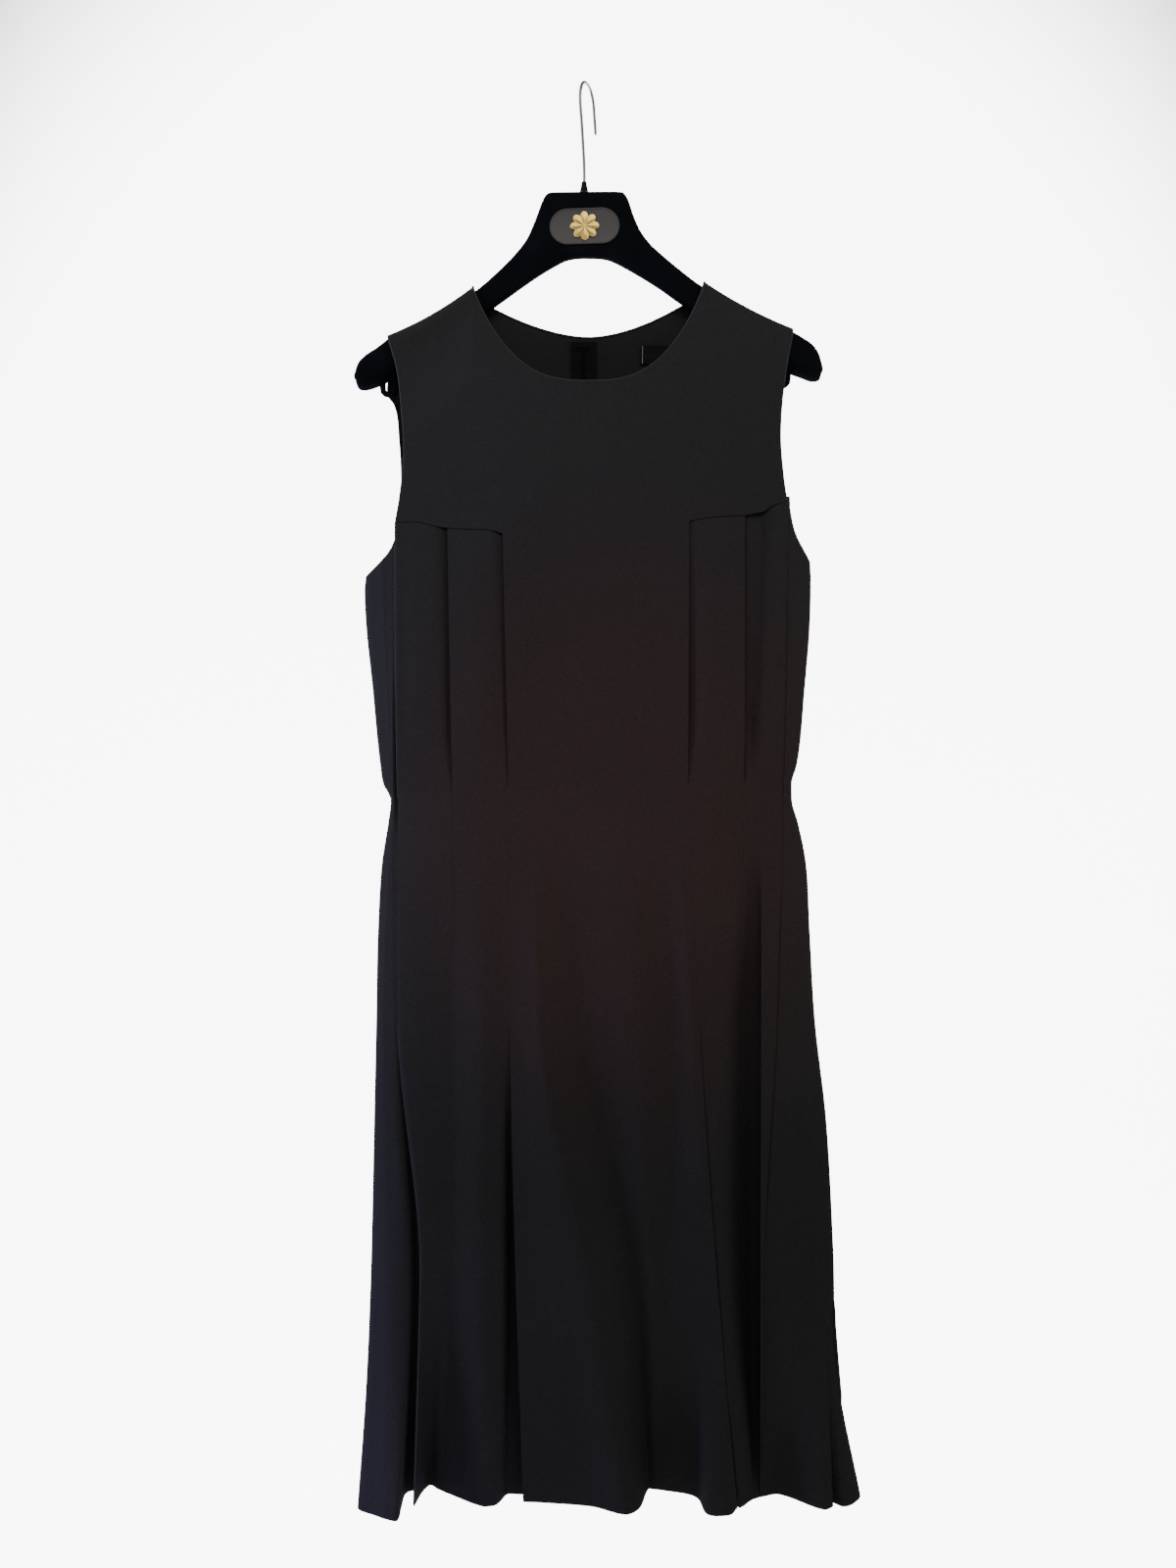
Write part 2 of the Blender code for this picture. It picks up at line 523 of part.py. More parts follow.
def front_centre(finish):
    """Front with its yoke: one piece from the shoulders to the hem."""
    body = front_rows(FRONT_CENTRE, top_gap=0.0)
    seam = body[0][:, [0, 2]]
    turns = [x for x, _ in YOKE_SEAM]
    left_x = np.concatenate((np.linspace(turns[0], turns[1], 3),
                             np.linspace(turns[1], seam[0, 0], 4)[1:]))
    right_x = np.concatenate((np.linspace(seam[-1, 0], turns[4], 4),
                              np.linspace(turns[4], turns[5], 3)[1:]))
    left_seam = np.column_stack((left_x, yoke_height(left_x)))[::-1]
    right_seam = np.column_stack((right_x, yoke_height(right_x)))
    left = shoulder_patch(-1.0, ARMHOLE_FRONT_LEFT, left_seam, FRONT_SHARES)[:, ::-1]
    right = shoulder_patch(1.0, ARMHOLE_FRONT_RIGHT, right_seam, FRONT_SHARES)
    start, end = left[NECK_ROW, -1], right[NECK_ROW, 0]
    neck = neckline(start[0], end[0], (start[1], end[1]), *FRONT_NECK, len(seam))
    middle = patch(neck, seam, left[NECK_ROW:, -1], right[NECK_ROW:, 0],
                   below_neck(FRONT_SHARES))
    middle = np.concatenate((np.repeat(middle[:1], NECK_ROW, axis=0), middle))
    flat = np.concatenate((left[:, :-1], middle, right[:, 1:]), axis=1)
    outer = SHOULDER_COLUMNS - 1
    flat[:NECK_ROW, outer] = left[:NECK_ROW, -1]
    flat[:NECK_ROW, outer + len(seam) - 1] = right[:NECK_ROW, 0]
    yoke = raise_patch(flat, -1.0)

    below = np.repeat(yoke[-1:], len(HEIGHTS), axis=0)
    below[:, outer:outer + len(seam)] = body[1:]
    grid = np.concatenate((yoke, below))
    keep = np.ones((grid.shape[0] - 1, grid.shape[1] - 1), bool)
    keep[:NECK_ROW, outer:outer + len(seam) - 1] = False
    keep[len(FRONT_SHARES) - 1:, :outer] = False
    keep[len(FRONT_SHARES) - 1:, outer + len(seam) - 1:] = False
    over_shoulder = np.r_[0:outer + 1, grid.shape[1] - outer - 1:grid.shape[1]]
    return wall("front_centre", grid, finish, keep=keep, level_first=over_shoulder)


def back_panel(name, side, finish):
    """Half back: centre-back seam to the side seam in front, neck to hem."""
    wrap = WRAP_LEFT if side < 0 else WRAP_RIGHT
    armhole_table = ARMHOLE_BACK_LEFT if side < 0 else ARMHOLE_BACK_RIGHT
    seam_z = UNDERARM_SEAM[0 if side < 0 else 1]
    lowest = UNDERARM[0 if side < 0 else 1]
    centre = CENTRE_BACK_X + side * 0.5 * SEAM_GAP / MM
    steps = [row[-1] for row in BACK] + [2] + [row[-1] for row in wrap]
    if side > 0:
        steps = steps[:-1]
    panel_columns = sum(row[-1] for row in BACK[:-1]) + 1

    def section(z):
        edge = side_x(z, side)
        chain = []
        for row in BACK:
            x = centre + row[1] * (edge - centre)
            depth = along(z, STATIONS[1:], (0.0,) + row[2:5])
            chain.append([x, plain_depth(x, z, 1.0) + depth])
        chain.append([edge, straight(z, SIDE_DEPTH)])
        chain += [link(row, z) for row in wrap]
        if side < 0:
            chain.append(under_link("side left", z, 1.0))
        return curve_through(chain, steps)

    first = section(lowest)
    turn = panel_columns + 1
    share = (first[turn, 0] - first[turn:, 0]) / (first[turn, 0] - first[-1, 0])
    height = np.full(len(first), lowest)
    height[turn:] += (seam_z - lowest) * np.clip(share, 0.0, 1.0) ** UNDERARM_CURVE
    rows = [np.column_stack((first, height))]
    for z in HEIGHTS:
        points = section(z)
        rows.append(np.column_stack((points, np.full(len(points), z))))
    body = np.array(rows)

    neck_columns = panel_columns - SHOULDER_COLUMNS + 1
    seam = body[0, :panel_columns][:, [0, 2]]
    arm = shoulder_patch(side, armhole_table, seam[neck_columns - 1:], BACK_SHARES)
    end = arm[NECK_ROW, 0]
    neck = neckline(centre, end[0], (end[1], end[1]), *BACK_NECK, neck_columns)
    shares = below_neck(BACK_SHARES)
    middle = patch(neck, seam[:neck_columns], straight_line(neck[0], seam[0], shares),
                   arm[NECK_ROW:, 0], shares)
    middle = np.concatenate((np.repeat(middle[:1], NECK_ROW, axis=0), middle))
    yoke = raise_patch(np.concatenate((middle[:, :-1], arm), axis=1), 1.0)

    above = np.repeat(body[:1], len(BACK_SHARES) - 1, axis=0)
    above[:, :panel_columns] = yoke[:-1]
    grid = np.concatenate((above, body))
    keep = np.ones((grid.shape[0] - 1, grid.shape[1] - 1), bool)
    keep[:NECK_ROW, :neck_columns - 1] = False
    keep[:len(BACK_SHARES) - 1, panel_columns - 1:] = False
    over_shoulder = np.arange(neck_columns - 1, panel_columns)
    return wall(name, grid, finish, keep=keep, outward=-side, level_first=over_shoulder)


def on_back(x, z, inward):
    """Point on the back's face at x, z, moved towards the inside of the dress."""
    return (x, float(plain_depth(x, z, 1.0)) - inward, z)


def zip_and_label(cloth, steel, label_cloth):
    """Centre-back zip: tape inside, slider and pull tab outside at its top."""
    half, thick = ZIP_TAPE
    inner = WALL / MM + SEAM_GAP / MM + INSIDE_GAP
    levels = np.linspace(ZIP_TOP, ZIP_FOOT, 22)
    tape = [[on_back(CENTRE_BACK_X + x, z, inner) for x in (-half, 0.0, half)] for z in levels]
    wall("zip_tape", tape, cloth, thickness=thick * MM, outward=-1.0)

    width, height, deep = SLIDER
    middle = SLIDER_TOP - 0.5 * height
    y_top, y_foot = (on_back(CENTRE_BACK_X, SLIDER_TOP - k * height, 0.0)[1] for k in (0, 1))
    lean = math.atan2(y_foot - y_top, height)
    place = Vector((CENTRE_BACK_X, 0.5 * (y_top + y_foot) + SLIDER_GAP, middle))
    seat = Matrix.Translation(place * MM) @ Matrix.Rotation(lean, 4, "X")
    ear, reach, play = EAR
    pin_r, room, drop = PIN
    outer_r, bore_r, knuckle_w = KNUCKLE
    pin_y, pin_z = deep + outer_r + room, 0.5 * height - drop
    bm = bmesh.new()
    bmesh.ops.create_cube(bm, size=1.0, matrix=Matrix.Translation((0, 0.5 * deep, 0))
                          @ Matrix.Diagonal((width, deep, height, 1)))
    slider = add_object("zip_slider", bm, steel)
    ear_x = 0.5 * knuckle_w + play + 0.5 * ear
    helpers = []
    for sign in (-1.0, 1.0):
        part = bmesh.new()
        bmesh.ops.create_cube(part, size=1.0, matrix=Matrix.Translation(
            (sign * ear_x, 0.5 * (deep + pin_y), pin_z))
            @ Matrix.Diagonal((ear, pin_y - deep + reach, 1.3 * reach, 1)))
        helpers.append(add_object("slider_ear", part, steel))
    part = bmesh.new()
    bmesh.ops.create_cone(part, cap_ends=True, segments=12, radius1=pin_r, radius2=pin_r,
                          depth=2 * ear_x, matrix=Matrix.Translation((0, pin_y, pin_z))
                          @ Matrix.Rotation(math.pi / 2, 4, "Y"))
    helpers.append(add_object("slider_pin", part, steel))
    for helper in helpers:
        helper.hide_render = True
        helper.display_type = "WIRE"
        join = slider.modifiers.new("join " + helper.name, "BOOLEAN")
        join.operation = "UNION"
        join.object = helper
        helper.matrix_world = seat @ Matrix.Scale(MM, 4)
    slider.matrix_world = seat @ Matrix.Scale(MM, 4)

    length, thick, widen, neck = PULL
    knuckle = [(outer_r * math.cos(a), outer_r * math.sin(a))
               for a in np.linspace(math.radians(-60), math.radians(240), 13)]
    inner_y = 0.15 - outer_r
    outline = knuckle + [(inner_y, -neck), (inner_y, -length), (inner_y + thick, -length),
                         (inner_y + thick, -neck)]
    bore = [(bore_r * math.cos(a), bore_r * math.sin(a))
            for a in np.linspace(0, 2 * math.pi, 12, endpoint=False)]
    bm = bmesh.new()
    edges = []
    for ring in (outline, bore):
        loop = [bm.verts.new((0.0, y, z)) for y, z in ring]
        edges += [bm.edges.new((loop[k], loop[(k + 1) % len(loop)])) for k in range(len(loop))]
    bmesh.ops.triangle_fill(bm, use_beauty=True, edges=edges)
    bmesh.ops.translate(bm, verts=bm.verts, vec=(-0.5 * knuckle_w, 0, 0))
    made = bmesh.ops.extrude_face_region(bm, geom=bm.faces[:])
    moved = [item for item in made["geom"] if isinstance(item, bmesh.types.BMVert)]
    bmesh.ops.translate(bm, verts=moved, vec=(knuckle_w, 0, 0))
    for vert in bm.verts:
        vert.co.x *= 1.0 + (widen - 1.0) * float(smooth((-vert.co.z - neck) / (length - neck)))
        vert.co *= MM
    bmesh.ops.recalc_face_normals(bm, faces=bm.faces)
    pull = add_object("zip_pull", bm, steel)
    pull.matrix_world = seat @ Matrix.Translation(Vector((0.0, pin_y, pin_z)) * MM)

    x_from, x_to, z_from, z_to, thick = LABEL
    across = np.linspace(x_from, x_to, 6)
    label = [[on_back(x, z, inner) for x in across] for z in np.linspace(z_from, z_to, 3)]
    wall("neck_label", label, label_cloth, thickness=thick * MM, outward=-1.0)


def hanger(flock, steel, plate, gold, collar):
    """Flocked body with broad shaped ends, swivelled steel hook and front plate."""
    rings = []
    for x, top, bottom, half in HANGER:
        if top is None:
            top = float(shoulder_height(x)) - HANGER_DROP
        edge = min(half, 0.5 * (top - bottom))
        ring = []
        for k in range(HANGER_SIDES):
            angle = 2.0 * math.pi * (k + 0.5) / HANGER_SIDES
            middle = top - edge if math.sin(angle) > 0 else bottom + edge
            ring.append((x, half * math.cos(angle), middle + edge * math.sin(angle)))
        rings.append(ring)
    closed_rings("hanger_body", rings, flock)
    underside = sorted((x, min(point[2] for point in ring))
                       for (x, *_), ring in zip(HANGER, rings))
    width, bar, slot, corner, thick = STRAP_LOOP
    for side, outer, way, low in STRAP_LOOPS:
        ends = [(u, float(np.interp(outer + way * u, *zip(*underside))) - TRIM_GAP)
                for u in (0.0, bar, bar + slot, width)]
        shape = (ends[0], (0.0, low + corner), (corner, low), (width - corner, low),
                 (width, low + corner), ends[3], ends[2], (bar + slot, low + bar),
                 (bar, low + bar), ends[1])
        outline = [(outer + way * u, z) for u, z in shape]
        slab("strap_loop_" + side, outline, thick, flock,
             Matrix.Translation(Vector((0.0, -0.5 * thick, 0.0)) * MM))

    across = np.array((math.cos(HOOK_TURN), math.sin(HOOK_TURN)))
    chain = []
    for place, z in HOOK:
        foot = smooth((z - HOOK_BEND) / (HOOK[0][1] - HOOK_BEND))
        x = HOOK_CENTRE_X + (HOOK_FOOT[0] - HOOK_CENTRE_X) * foot + place * across[0]
        chain.append((x, HOOK_FOOT[1] + place * across[1], z))
    path = curve_through(chain, [2] * (len(chain) - 1))
    curve = bpy.data.curves.new("hanger_hook", "CURVE")
    curve.dimensions = "3D"
    spline = curve.splines.new("POLY")
    spline.points.add(len(path) - 1)
    for point, place in zip(spline.points, path):
        point.co = (*(place * MM), 1.0)
    curve.bevel_depth = WIRE_R * MM
    curve.bevel_resolution = 2
    curve.use_fill_caps = True
    curve.materials.append(steel)
    bpy.context.collection.objects.link(bpy.data.objects.new("hanger_hook", curve))

    top = straight(HOOK_FOOT[0], [(row[0], row[1]) for row in HANGER if row[1] is not None])
    turns = np.linspace(0, 2 * math.pi, HANGER_SIDES, endpoint=False)
    rings = [[(HOOK_FOOT[0] + r * math.cos(a), HOOK_FOOT[1] + r * math.sin(a), top + z)
              for a in turns] for r, z in COLLAR]
    bm = bmesh.new()
    loops = [[bm.verts.new(Vector(point) * MM) for point in ring] for ring in rings]
    for first, second in zip(loops, loops[1:] + loops[:1]):
        for k in range(len(turns)):
            after = (k + 1) % len(turns)
            bm.faces.new((first[k], first[after], second[after], second[k]))
    bmesh.ops.recalc_face_normals(bm, faces=bm.faces)
    add_object("hook_collar", bm, collar)

    x, z, width, height, deep = PLATE
    front = half_thickness(x) * math.cos(math.pi / HANGER_SIDES)
    turn = Matrix.Rotation(-PLATE_TILT, 4, "Y")
    outline = []
    for sign in (1.0, -1.0):
        for a in np.linspace(-math.pi / 2, math.pi / 2, 13):
            outline.append((sign * (0.5 * (width - height) + 0.5 * height * math.cos(a)),
                            sign * 0.5 * height * math.sin(a)))
    face = -front - TRIM_GAP - deep
    slab("hanger_plate", outline, deep, plate, Matrix.Translation(Vector((x, face, z)) * MM) @ turn)
    outer, inner, petals, fullness, thick = ROSETTE
    angles = np.linspace(0, 2 * math.pi, 8 * petals, endpoint=False)
    radius = inner + (outer - inner) * np.abs(np.cos(0.5 * petals * angles)) ** fullness
    outline = np.column_stack((radius * np.cos(angles), radius * np.sin(angles))).tolist()
    face -= TRIM_GAP + thick
    slab("hanger_rosette", outline, thick, gold,
         Matrix.Translation(Vector((x, face, z)) * MM) @ turn)


def build():
    for item in list(bpy.data.objects):
        bpy.data.objects.remove(item, do_unlink=True)
    crepe = material("charcoal crepe", (0.022, 0.021, 0.022), 0.85)
    tape = material("black zip tape", (0.012, 0.012, 0.012), 0.8)
    woven = material("black label", (0.01, 0.01, 0.01), 0.6)
    flock = material("black flock", (0.006, 0.006, 0.006), 0.95)
    wire = material("nickel wire", (0.35, 0.35, 0.36), 0.35, 1.0)
    grey = material("dark grey enamel", (0.05, 0.05, 0.055), 0.5)
    gold = material("gold plate", (0.72, 0.5, 0.16), 0.35, 1.0)
    collar = material("black plastic", (0.01, 0.01, 0.01), 0.5)

    front_centre(crepe)
    edge_under = {
        "middle_left": lambda z: under_link("inner left", z, 1.0),
        "middle_right": lambda z: under_link("inner right", z, -1.0),
        "side_left": lambda z: under_link("outer left", z, 1.0),
        "side_right": lambda z: under_link("outer right", z, -1.0)}

    def rolled_back(z):
        x = seam_x("outer right", z)
        return [x, plain_depth(x, z, -1.0) + straight(z, TURN_BACK)]

    wall("front_middle_left", front_rows(MIDDLE_LEFT, end=edge_under["middle_left"]), crepe)
    wall("front_middle_right",
         front_rows(MIDDLE_RIGHT, start=edge_under["middle_right"], end=rolled_back), crepe)
    wall("front_side_left", front_rows(SIDE_LEFT, end=edge_under["side_left"]), crepe)
    wall("front_side_right",
         front_rows(SIDE_RIGHT, start=edge_under["side_right"],
                    end=lambda z: under_link("side right", z, 1.0)), crepe)
    back_panel("back_left", -1.0, crepe)
    back_panel("back_right", 1.0, crepe)
    zip_and_label(tape, wire, woven)
    hanger(flock, wire, grey, gold, collar)


build()
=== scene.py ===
"""A sleeveless cocktail dress on its hanger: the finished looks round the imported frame.

Metres, +Z up.  The front faces -Y, and the origin is the inside of the hook's crown.
Sizes in the tables are millimetres.
"""
import math

import bpy
import numpy as np
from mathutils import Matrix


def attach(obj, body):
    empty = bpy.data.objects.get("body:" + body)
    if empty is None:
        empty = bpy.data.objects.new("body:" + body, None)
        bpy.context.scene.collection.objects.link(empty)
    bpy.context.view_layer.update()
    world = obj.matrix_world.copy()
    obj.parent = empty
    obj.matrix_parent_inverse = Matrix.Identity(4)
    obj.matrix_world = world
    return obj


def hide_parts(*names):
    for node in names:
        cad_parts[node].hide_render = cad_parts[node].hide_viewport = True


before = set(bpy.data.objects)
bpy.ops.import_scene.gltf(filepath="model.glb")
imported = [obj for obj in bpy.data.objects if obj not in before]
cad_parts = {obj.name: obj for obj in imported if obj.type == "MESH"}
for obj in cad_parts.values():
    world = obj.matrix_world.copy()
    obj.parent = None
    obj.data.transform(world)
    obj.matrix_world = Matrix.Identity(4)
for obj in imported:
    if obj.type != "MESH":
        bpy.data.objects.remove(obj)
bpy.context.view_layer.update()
MM = 0.001

# ---- Studio ---------------------------------------------------------------------
# A white floor that sweeps up into a wall of back-lit acrylic, and soft light: a window
# on the left, a weaker fill from the right and a large panel over the camera.
camera_data = bpy.data.cameras.new("camera")
camera_data.lens = 33.75
camera_data.sensor_width = 36.0
camera = bpy.data.objects.new("camera", camera_data)
camera.location = (0.0009, -1.35, -0.641)
camera.rotation_euler = (math.radians(90.0), 0.0, 0.0)
bpy.context.collection.objects.link(camera)
bpy.context.scene.camera = camera


def linear(code):
    """Linear colour of an sRGB hex value such as "#2b292a"."""
    parts = np.array([int(code[k:k + 2], 16) for k in (1, 3, 5)]) / 255.0
    curved = np.where(parts <= 0.04045, parts / 12.92, ((parts + 0.055) / 1.055) ** 2.4)
    return (*curved.tolist(), 1.0)


def node(material, kind, inputs=None, **settings):
    """Add one shader node: `inputs` maps a socket to a value or to another socket."""
    made = material.node_tree.nodes.new(kind)
    for key, value in settings.items():
        setattr(made, key, value)
    for key, value in (inputs or {}).items():
        if isinstance(value, bpy.types.NodeSocket):
            material.node_tree.links.new(value, made.inputs[key])
        else:
            made.inputs[key].default_value = value
    return made


def new_material(name):
    """An empty material with its output node."""
    made = bpy.data.materials.new(name)
    made.use_nodes = True
    made.node_tree.nodes.clear()
    return made


def finish_material(material, shader):
    node(material, "ShaderNodeOutputMaterial", {"Surface": shader.outputs["BSDF"]})
    return material


def mesh_piece(name, points, faces, material):
    """A mesh object at the origin from points [n, 3] in mm and faces [m, 4]."""
    mesh = bpy.data.meshes.new(name)
    mesh.from_pydata((np.asarray(points) * MM).tolist(), [], np.asarray(faces).tolist())
    mesh.polygons.foreach_set("use_smooth", np.full(len(mesh.polygons), True))
    mesh.materials.append(material)
    made = bpy.data.objects.new(name, mesh)
    bpy.context.collection.objects.link(made)
    return made


# The glow fills an oval on the wall and fades out towards the floor's front.
WALL_GLOW = 7.5
acrylic = new_material("back-lit white acrylic")
place = node(acrylic, "ShaderNodeTexCoord").outputs["Object"]
oval = node(acrylic, "ShaderNodeMapRange", {
    "Value": node(acrylic, "ShaderNodeVectorMath", {
        0: node(acrylic, "ShaderNodeMapping", {
            "Vector": place, "Location": (0.0, 0.0, 0.28),
            "Scale": (0.55, 0.0, 0.42)}).outputs["Vector"]},
        operation="LENGTH").outputs["Value"],
    "From Min": 0.85, "From Max": 1.3, "To Min": 1.0, "To Max": 0.0},
    interpolation_type="SMOOTHSTEP")
behind = node(acrylic, "ShaderNodeMapRange", {
    "Value": node(acrylic, "ShaderNodeSeparateXYZ", {"Vector": place}).outputs["Y"],
    "From Min": 0.5, "From Max": 0.95, "To Min": 0.0, "To Max": WALL_GLOW},
    interpolation_type="SMOOTHSTEP")
finish_material(acrylic, node(acrylic, "ShaderNodeBsdfPrincipled", {
    "Base Color": linear("#b9b9bb"), "Roughness": 0.9,
    "Emission Color": linear("#ffffff"), "Emission Strength": node(
        acrylic, "ShaderNodeMath", {
            0: oval.outputs["Result"], 1: behind.outputs["Result"]},
        operation="MULTIPLY").outputs["Value"]}))

FLOOR = -1900.0
across, up = np.meshgrid(np.linspace(-6000.0, 6000.0, 3), np.linspace(0.0, 1.0, 40))
bend = np.clip((up - 0.5) / 0.2, 0.0, 1.0) * 0.5 * math.pi
deep = np.where(up < 0.5, -3000.0 + 8800.0 * up, 1400.0 + 900.0 * np.sin(bend))
high = np.where(up > 0.7, FLOOR + 900.0 + (up - 0.7) * 15000.0,
                FLOOR + 900.0 * (1.0 - np.cos(bend)))
sweep = np.stack((across, deep, high), axis=-1).reshape(-1, 3)
index = np.arange(sweep.shape[0]).reshape(up.shape)
floor = mesh_piece("studio_sweep", sweep, np.stack(
    (index[:-1, :-1], index[:-1, 1:], index[1:, 1:], index[1:, :-1]), -1).reshape(-1, 4),
    acrylic)


def soft_light(name, place, target, size, power, colour):
    data = bpy.data.lights.new(name, "AREA")
    data.shape = "RECTANGLE"
    data.size, data.size_y = size
    data.energy = power
    data.color = linear(colour)[:3]
    lamp = bpy.data.objects.new(name, data)
    lamp.location = place
    way = np.array(target) - np.array(place)
    lamp.rotation_euler = (math.atan2(math.hypot(way[0], way[1]), -way[2]), 0.0,
                           math.atan2(-way[0], way[1]))
    bpy.context.collection.objects.link(lamp)


soft_light("window", (-2.5, -0.18, -0.5), (0.0, 0.0, -0.9), (1.4, 2.2), 86.0, "#ccd2ff")
soft_light("fill", (2.5, -0.7, -0.4), (0.0, 0.0, -0.7), (1.6, 2.2), 15.0, "#fff1ea")
soft_light("overhead", (0.2, -1.7, 0.9), (0.0, 0.0, -0.5), (1.8, 1.0), 24.0, "#fff3ec")

world = bpy.data.worlds.new("white room")
world.use_nodes = True
world.node_tree.nodes["Background"].inputs["Color"].default_value = linear("#ffffff")
world.node_tree.nodes["Background"].inputs["Strength"].default_value = 0.35
bpy.context.scene.world = world

# ---- Front centre panel with the yoke ----------------------------------------------
# One piece of charcoal crepe from the shoulders to the hem.  Over the yoke seam it
# spans the whole front; under it, its two long edges are the top folds of pleats.


def smooth(t):
    """0 to 1 with level ends: 3t^2 - 2t^3."""
    t = np.clip(t, 0.0, 1.0)
    return t * t * (3.0 - 2.0 * t)


def along(at, places, values):
    """Cubic through (places, values); the slope at a place is the mean of the slopes
    beside it, and level at a peak, so the curve never overshoots."""
    places, values = np.asarray(places, float), np.asarray(values, float)
    if places[0] > places[-1]:
        places, values = places[::-1], values[::-1]
    step = np.diff(places)
    slope = np.diff(values) / step
    tangent = np.concatenate((slope[:1], 0.5 * (slope[1:] + slope[:-1]), slope[-1:]))
    limit = 3.0 * np.minimum(np.abs(slope[1:]), np.abs(slope[:-1]))
    tangent[1:-1] = np.where(slope[1:] * slope[:-1] <= 0.0, 0.0,
                             np.clip(tangent[1:-1], -limit, limit))
    at = np.clip(at, places[0], places[-1])
    k = np.clip(np.searchsorted(places, at, side="right") - 1, 0, len(step) - 1)
    t = (at - places[k]) / step[k]
    return ((1 + 2 * t) * (1 - t) ** 2 * values[k]
            + t * (1 - t) ** 2 * step[k] * tangent[k]
            + t * t * (3 - 2 * t) * values[k + 1]
            - t * t * (1 - t) * step[k] * tangent[k + 1])


NECK_LEFT, NECK_RIGHT = (-104.0, -184.4), (107.0, -180.0)
SHOULDER_LEFT = (78.0, 0.769, 0.00245)      # length in x, slope, easing
SHOULDER_RIGHT = (81.0, 0.68, 0.0018)
ARM_THICKNESS = (                           # half thickness of the hanger's arm: x, y
    (-212.4, 7.0), (-205.0, 13.0), (-192.0, 14.0), (-180.0, 14.0), (-160.0, 13.0),
    (-140.0, 11.0), (-114.0, 7.8), (-84.0, 6.2), (-54.0, 5.6), (56.0, 5.8), (84.0, 6.2),
    (117.0, 7.8), (144.0, 11.0), (164.0, 13.0), (186.0, 14.0), (207.0, 13.0), (215.2, 7.0))
ARM_CLEAR = 3.2                             # the cloth's face outside the arm
SECTIONS = np.array((                       # z, left, right, front depth, back depth
    (-200.0, -204.4, 205.5, 31.0, 25.0), (-462.0, -204.4, 205.5, 30.0, 27.0),
    (-497.0, -202.8, 204.6, 30.0, 27.0), (-551.0, -197.2, 200.2, 29.0, 26.0),
    (-623.0, -190.0, 192.8, 26.0, 25.0), (-641.0, -187.1, 187.8, 24.5, 24.5),
    (-656.0, -180.0, 188.0, 24.0, 24.0), (-677.0, -182.5, 193.9, 25.0, 25.0),
    (-713.0, -188.2, 201.1, 28.0, 28.0), (-776.0, -191.9, 204.5, 31.0, 31.0),
    (-857.0, -193.4, 209.0, 34.0, 34.0), (-947.0, -195.2, 219.2, 32.0, 36.0),
    (-1064.0, -197.4, 225.6, 27.0, 38.0), (-1181.0, -200.4, 229.5, 22.0, 40.0),
    (-1289.0, -206.8, 250.2, 18.0, 42.0)))
SHARPNESS = 3.0                             # power of the section's curve to the side


def shoulder_height(x):
    """Top line of the dress: level inside the neck, then a parabola down each shoulder."""
    left = np.clip(NECK_LEFT[0] - x, 0.0, None)
    right = np.clip(x - NECK_RIGHT[0], 0.0, None)
    inside = np.clip((x - NECK_LEFT[0]) / (NECK_RIGHT[0] - NECK_LEFT[0]), 0.0, 1.0)
    level = NECK_LEFT[1] + (NECK_RIGHT[1] - NECK_LEFT[1]) * inside
    return (level - SHOULDER_LEFT[1] * left + SHOULDER_LEFT[2] * left ** 2
            - SHOULDER_RIGHT[1] * right + SHOULDER_RIGHT[2] * right ** 2)


def plain_depth(x, z, side):
    """y of the cloth without folds, side -1 in front and +1 behind: a round over the
    arm, then easing to the section, whose depth falls off as (1 - u^3)^(1/2)."""
    left, right = (along(z, SECTIONS[:, 0], SECTIONS[:, k]) for k in (1, 2))
    deep = along(z, SECTIONS[:, 0], SECTIONS[:, 3 if side < 0 else 4])
    u = np.clip(np.abs((x - 0.5 * (left + right)) / (0.5 * (right - left))), 0.0, 1.0)
    chest = deep * np.sqrt(1.0 - u ** SHARPNESS)
    drop = np.maximum(shoulder_height(x) - z, 0.0)
    arm = np.interp(x, *zip(*ARM_THICKNESS)) + ARM_CLEAR
    over_arm = np.sqrt(np.maximum(arm ** 2 - np.maximum(arm - drop, 0.0) ** 2, 0.0))
    below = arm + (chest - arm) * smooth((drop - arm) / 90.0)
    return side * np.maximum(np.where(drop < arm, over_arm, below), 0.15)


def unevenness(x, z):
    """Slight waves of hanging cloth, mm: three crossed sines that fade in below the
    shoulders."""
    wave = (0.5 * np.sin(x / 31.0 + 1.4 * np.sin(z / 140.0))
            + 0.35 * np.sin(x / 17.0 - z / 210.0 + 0.8)
            + 0.4 * np.sin(z / 74.0 + x / 95.0))
    return wave * smooth((-250.0 - z) / 120.0)


